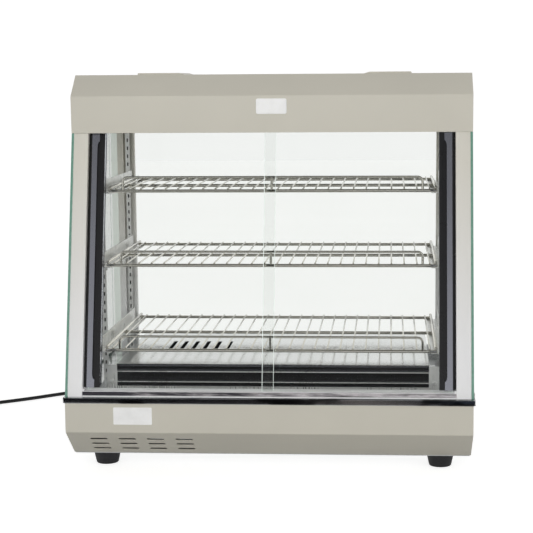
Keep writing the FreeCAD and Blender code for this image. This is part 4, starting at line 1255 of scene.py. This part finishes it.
# ---- doors -------------------------------------------------------------------------------
class DoorsOperator(bpy.types.Operator):
    """Makes the two sliding glass doors with their dark profiles and finger grooves"""
    bl_idname = "display_case.doors"
    bl_label = "Doors"

    def execute(self, context):
        sizes = context.scene.case_sizes
        colours = context.scene.case_colours
        clear = paint(soda_lime_float_glass)
        edge = paint(polished_glass_edge, colours.door_edge)
        dark = paint(dark_anodised_aluminium, colours.dark_profile)
        painted_shade_black = paint(abs_moulding, colours.plastic)
        for side, sign in (("left", -1), ("right", 1)):
            body = "door_" + side
            self.pane(side, body, clear, edge)
            self.profile(side, sign, body, sizes, dark, painted_shade_black)
        return {"FINISHED"}

    def pane(self, side, body, clear, edge):
        node = body + "_glass"
        low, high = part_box(node)
        bm = bmesh.new()
        lean_profile(bm, rectangle(low.x, high.x, *depths(node)), low.z, high.z)
        chamfer(bm, 0.5 * MM)
        pane = mesh_object("door_pane_" + side, bm)
        rise = Vector((0.0, front_y(high.z) - front_y(low.z), high.z - low.z)).normalized()
        glaze(pane, Vector((1, 0, 0)).cross(rise), clear, edge)
        settle(pane, clear, body, (node,))

    def profile(self, side, sign, body, sizes, dark, painted_shade_black):
        node = body + "_handle"
        low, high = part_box(node)
        front, back = depths(node)
        inner, outer = (low.x, high.x) if sign > 0 else (high.x, low.x)
        seam = inner + sign * (sizes.grip_side + sizes.grip_width / 2)
        sunk = front + 0.2 * MM                # the finger side lies this much behind the rest of the face
        outline = [(inner, front + 0.9 * MM), (inner + sign * 0.8 * MM, sunk), (seam, sunk), (seam, front),
                   (outer - sign * 5.1 * MM, front), (outer, front + 4.0 * MM), (outer, back), (inner, back)]
        bm = bmesh.new()
        lean_profile(bm, outline, low.z, high.z)
        bar = mesh_object("door_profile_" + side, bm)
        g0, g1 = depths(body + "_glass")
        bm = bmesh.new()
        slot = rectangle(inner - sign * 1 * MM, outer - sign * 5.6 * MM, g0, g1)
        lean_profile(bm, slot, low.z - 1 * MM, high.z + 1 * MM)
        carve(bar, bm)
        bm = bmesh.new()
        self.groove(bm, inner, sign, low.z, high.z, front, sizes)
        carve(bar, bm)
        coat(bar, dark, painted_shade_black)
        self.shade_groove_black(bar, inner, sign, low.z, high.z, front, sizes)
        soften(bar, 0.45 * MM, 2, 25)
        settle(bar, dark, body, (node,))

    def shade_groove_black(self, bar, inner, sign, z0, z1, front, sizes):
        """Painted shade: the black moulding goes in the groove, on the finger side and on the outer chamfer,
        where shade falls
        """
        near, far = sizes.grip_side - 0.1 * MM, sizes.grip_side + sizes.grip_width + 0.1 * MM
        for face in bar.data.polygons:
            c = face.center
            across, depth = sign * (c.x - inner), c.y - front_y(c.z) - front
            inside = near < across < far and z0 + 10 * MM < c.z < z1 - 10 * MM
            groove = inside and 0.2 * MM < depth < sizes.grip_depth + 0.2 * MM
            finger_side = across < sizes.grip_side + 2 * MM and depth < 1 * MM
            # the outer chamfer, found by its normal, is painted black as shade
            if groove or finger_side or 0.3 < sign * face.normal.x < 0.95:
                face.material_index = 1

    def groove(self, bm, inner, sign, z0, z1, front, sizes):
        middle = inner + sign * (sizes.grip_side + sizes.grip_width / 2)
        half, nose = sizes.grip_width / 2, 9.0 * MM
        low, high = z0 + sizes.grip_end, z1 - sizes.grip_end
        ring = []
        steps = 16
        for turned, end in ((0, high - nose), (1, low + nose)):
            for k in range(steps + 1):
                a = math.pi * (turned + k / steps)
                ring.append((middle + half * math.cos(a), end + nose * math.sin(a)))
        prism(bm, [(x, front_y(z) + front - 1 * MM, z) for x, z in ring],
              [(x, front_y(z) + front + sizes.grip_depth, z) for x, z in ring])


# ---- standards and shelves ---------------------------------------------------------------
class StandardsOperator(bpy.types.Operator):
    """Gives the slotted standards and the shelf brackets their plated finish"""
    bl_idname = "display_case.standards"
    bl_label = "Standards and brackets"

    def execute(self, context):
        colours = context.scene.case_colours
        zinc = paint(zinc_plated_strip, colours.zinc)
        painted_shade_black = paint(abs_moulding, colours.plastic)
        for side in ("left", "right"):
            for part in ("front_standard", "rear_standard", "bracket_bottom", "bracket_middle",
                         "bracket_top"):
                recoat(part + "_" + side, zinc)
            for end in ("front", "rear"):
                self.channel(end, side, painted_shade_black)
        return {"FINISHED"}

    def channel(self, end, side, painted_shade_black):
        """Painted shade: a black strip behind a standard's slots, standing in for the shade in the channel"""
        low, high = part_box(end + "_standard_" + side)
        width = 8 * MM
        near, far = (low.x, low.x + width) if side == "right" else (high.x - width, high.x)
        back = low.y + 2.1 * MM
        bm = bmesh.new()
        block(bm, (near + 0.4 * MM, back, low.z + 1 * MM), (far - 0.4 * MM, back + 1.2 * MM, high.z - 1 * MM))
        shade_strip = mesh_object(end + "_slot_shade_strip_" + side, bm)
        soften(shade_strip, 0.3 * MM)
        settle(shade_strip, painted_shade_black, "case", ())


class ShelvesOperator(bpy.types.Operator):
    """Makes the three plated wire shelves with their guard rails"""
    bl_idname = "display_case.shelves"
    bl_label = "Shelves"

    def execute(self, context):
        sizes = context.scene.case_sizes
        chrome = paint(chrome_plated_wire, context.scene.case_colours.chrome)
        bodies = {"bottom": "lower_shelf", "middle": "middle_shelf", "top": "upper_shelf"}
        mid_rods = {"bottom": 0.0191, "middle": 0.0163, "top": 0.0305}
        for level, body in bodies.items():
            self.shelf(level, body, mid_rods[level], sizes, chrome)
        return {"FINISHED"}

    def shelf(self, level, body, mid_y, sizes, chrome):
        node = "shelf_" + level
        low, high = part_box(node)
        bite = 0.35 * MM                       # how far a welded wire sinks into its rods
        rod, wire, side_wire = sizes.rod, sizes.wire, sizes.side_wire
        z = low.z + rod
        overhang = 2.4 * MM
        front, back = low.y + max(rod, overhang), high.y - max(rod, overhang)
        bm = bmesh.new()
        rods = (front, mid_y, back)
        for y in rods:
            tube(bm, [(low.x, y, z), (-0.1, y, z), (0.1, y, z), (high.x, y, z)], rod)
        wire_z = z + rod + wire - bite
        pitch = 20.72 * MM
        for i in range(sizes.wires):
            x = (i - (sizes.wires - 1) / 2) * pitch
            tube(bm, [(x, low.y, wire_z), (x, mid_y, wire_z), (x, high.y, wire_z)], wire, 10)
            for y in rods:
                self.weld(bm, (x, y, wire_z - wire * 0.75), wire)
        side_z = z + rod + side_wire - bite
        for x in (low.x + side_wire, high.x - side_wire):
            tube(bm, [(x, low.y, side_z), (x, mid_y, side_z), (x, high.y, side_z)], side_wire, 12)
        self.guard(bm, low.x + sizes.guard_side, high.x - sizes.guard_side, front, z, sizes)
        shelf = mesh_object("wire_shelf_" + level, bm)
        smooth(shelf, 60)
        settle(shelf, chrome, body, (node,))

    def weld(self, bm, place, radius):
        """Squashed bead where a wire is spot welded to a rod"""
        made = bmesh.ops.create_icosphere(bm, subdivisions=1, radius=radius)
        squash = Matrix.Translation(place) @ Matrix.Diagonal((1.35, 1.35, 0.6, 1.0))
        bmesh.ops.transform(bm, matrix=squash, verts=made["verts"])

    def guard(self, bm, x0, x1, y, z, sizes):
        top, bend, steps = z + sizes.guard_rise, sizes.guard_bend, 6
        path = [(x0, y, z)]
        for quarters, x in ((2, x0 + bend), (1, x1 - bend)):
            for k in range(steps + 1):
                a = math.pi / 2 * (quarters - k / steps)
                path.append((x + bend * math.cos(a), y, top - bend + bend * math.sin(a)))
        path.append((x1, y, z))
        tube(bm, path, sizes.guard, 12, False)
        tube(bm, [(0.0, y, z), (0.0, y, z + sizes.guard_rise / 2), (0.0, y, top)], sizes.guard, 12, False)


# ---- canopy ------------------------------------------------------------------------------
class CanopyOperator(bpy.types.Operator):
    """Makes the folded canopy with its liner, roof covers, lamp and blank badge plate"""
    bl_idname = "display_case.canopy"
    bl_label = "Canopy"

    def execute(self, context):
        sizes = context.scene.case_sizes
        colours = context.scene.case_colours
        powder = paint(powder_coated_steel, colours.paint)
        self.shell(sizes, powder)
        for side in ("left", "right"):
            recoat("roof_cover_" + side, powder)
        recoat("canopy_liner", paint(galvanised_sheet, colours.galvanised))
        recoat("lamp_tube", paint(opal_glass, colours.lamp))
        recoat("lamp_sockets", paint(glazed_porcelain, colours.porcelain))
        self.badge(colours)
        return {"FINISHED"}

    def shell(self, sizes, powder):
        low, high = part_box("canopy_shell")
        fold = low.z + sizes.canopy_fold
        run = sizes.canopy_inset
        outline = [(low.y, low.z), (high.y, low.z), (high.y, fold), (high.y - run, high.z),
                   (low.y + run, high.z), (low.y, fold)]
        open_low = low.z - sizes.sheet - 2 * MM
        hollow = [(y, open_low if z < low.z + MM else z) for y, z in outline]
        shell = folded_shell("canopy_cover", outline, hollow, (0, 0, 1, 1, 1, 1), low, high, sizes)
        soften(shell, 0.3 * MM, 2, 40)
        settle(shell, powder, "case", ("canopy_shell",))

    def badge(self, colours):
        """Blank plate with rounded corners and a soft rim"""
        low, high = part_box("badge_plate")
        outline = rounded(rectangle(low.x, high.x, low.z, high.z), 3 * MM, 6)
        bm = bmesh.new()
        prism(bm, [(x, high.y, z) for x, z in outline], [(x, low.y, z) for x, z in outline])
        badge = mesh_object("blank_badge", bm)
        soften(badge, 0.35 * MM)
        film = paint(polyester_label, colours.label)
        settle(badge, film, "case", ("badge_plate",))
        recoat("rating_label", film)


# ---- controls ----------------------------------------------------------------------------
class ControlsOperator(bpy.types.Operator):
    """Gives the thermostat, the switches and the pilot lamp their finishes"""
    bl_idname = "display_case.controls"
    bl_label = "Controls"

    def execute(self, context):
        colours = context.scene.case_colours
        gloss = paint(abs_moulding, colours.plastic)
        for node in ("thermostat_knob", "light_switch_housing", "heat_switch_housing", "light_rocker",
                     "heat_rocker"):
            recoat(node, gloss)
        recoat("pilot_lamp", paint(red_polycarbonate, colours.lens))
        recoat("thermostat_body", paint(glazed_porcelain, colours.porcelain))
        return {"FINISHED"}


# ---- add-on ------------------------------------------------------------------------------
OPERATORS = (StageOperator, SupplyCordOperator, BaseOperator, PlenumOperator, FrameOperator, PanesOperator,
             DoorsOperator, StandardsOperator, ShelvesOperator, CanopyOperator, ControlsOperator)


class DisplayCasePanel(bpy.types.Panel):
    """Lists the pieces of the display case"""
    bl_idname = "VIEW3D_PT_display_case"
    bl_label = "Display Case"
    bl_space_type = "VIEW_3D"
    bl_region_type = "UI"
    bl_category = "Display Case"

    def draw(self, context):
        for operator in OPERATORS:
            self.layout.operator(operator.bl_idname)


CLASSES = (CaseSizes, CaseColours, StageSettings, *OPERATORS, DisplayCasePanel)


def register():
    for entry in CLASSES:
        bpy.utils.register_class(entry)
    bpy.types.Scene.case_sizes = bpy.props.PointerProperty(type=CaseSizes)
    bpy.types.Scene.case_colours = bpy.props.PointerProperty(type=CaseColours)
    bpy.types.Scene.case_stage = bpy.props.PointerProperty(type=StageSettings)


def unregister():
    del bpy.types.Scene.case_stage
    del bpy.types.Scene.case_colours
    del bpy.types.Scene.case_sizes
    for entry in reversed(CLASSES):
        bpy.utils.unregister_class(entry)


def main():
    register()
    for operator in OPERATORS:
        group, name = operator.bl_idname.split(".")
        getattr(getattr(bpy.ops, group), name)()


if __name__ == "__main__":
    main()
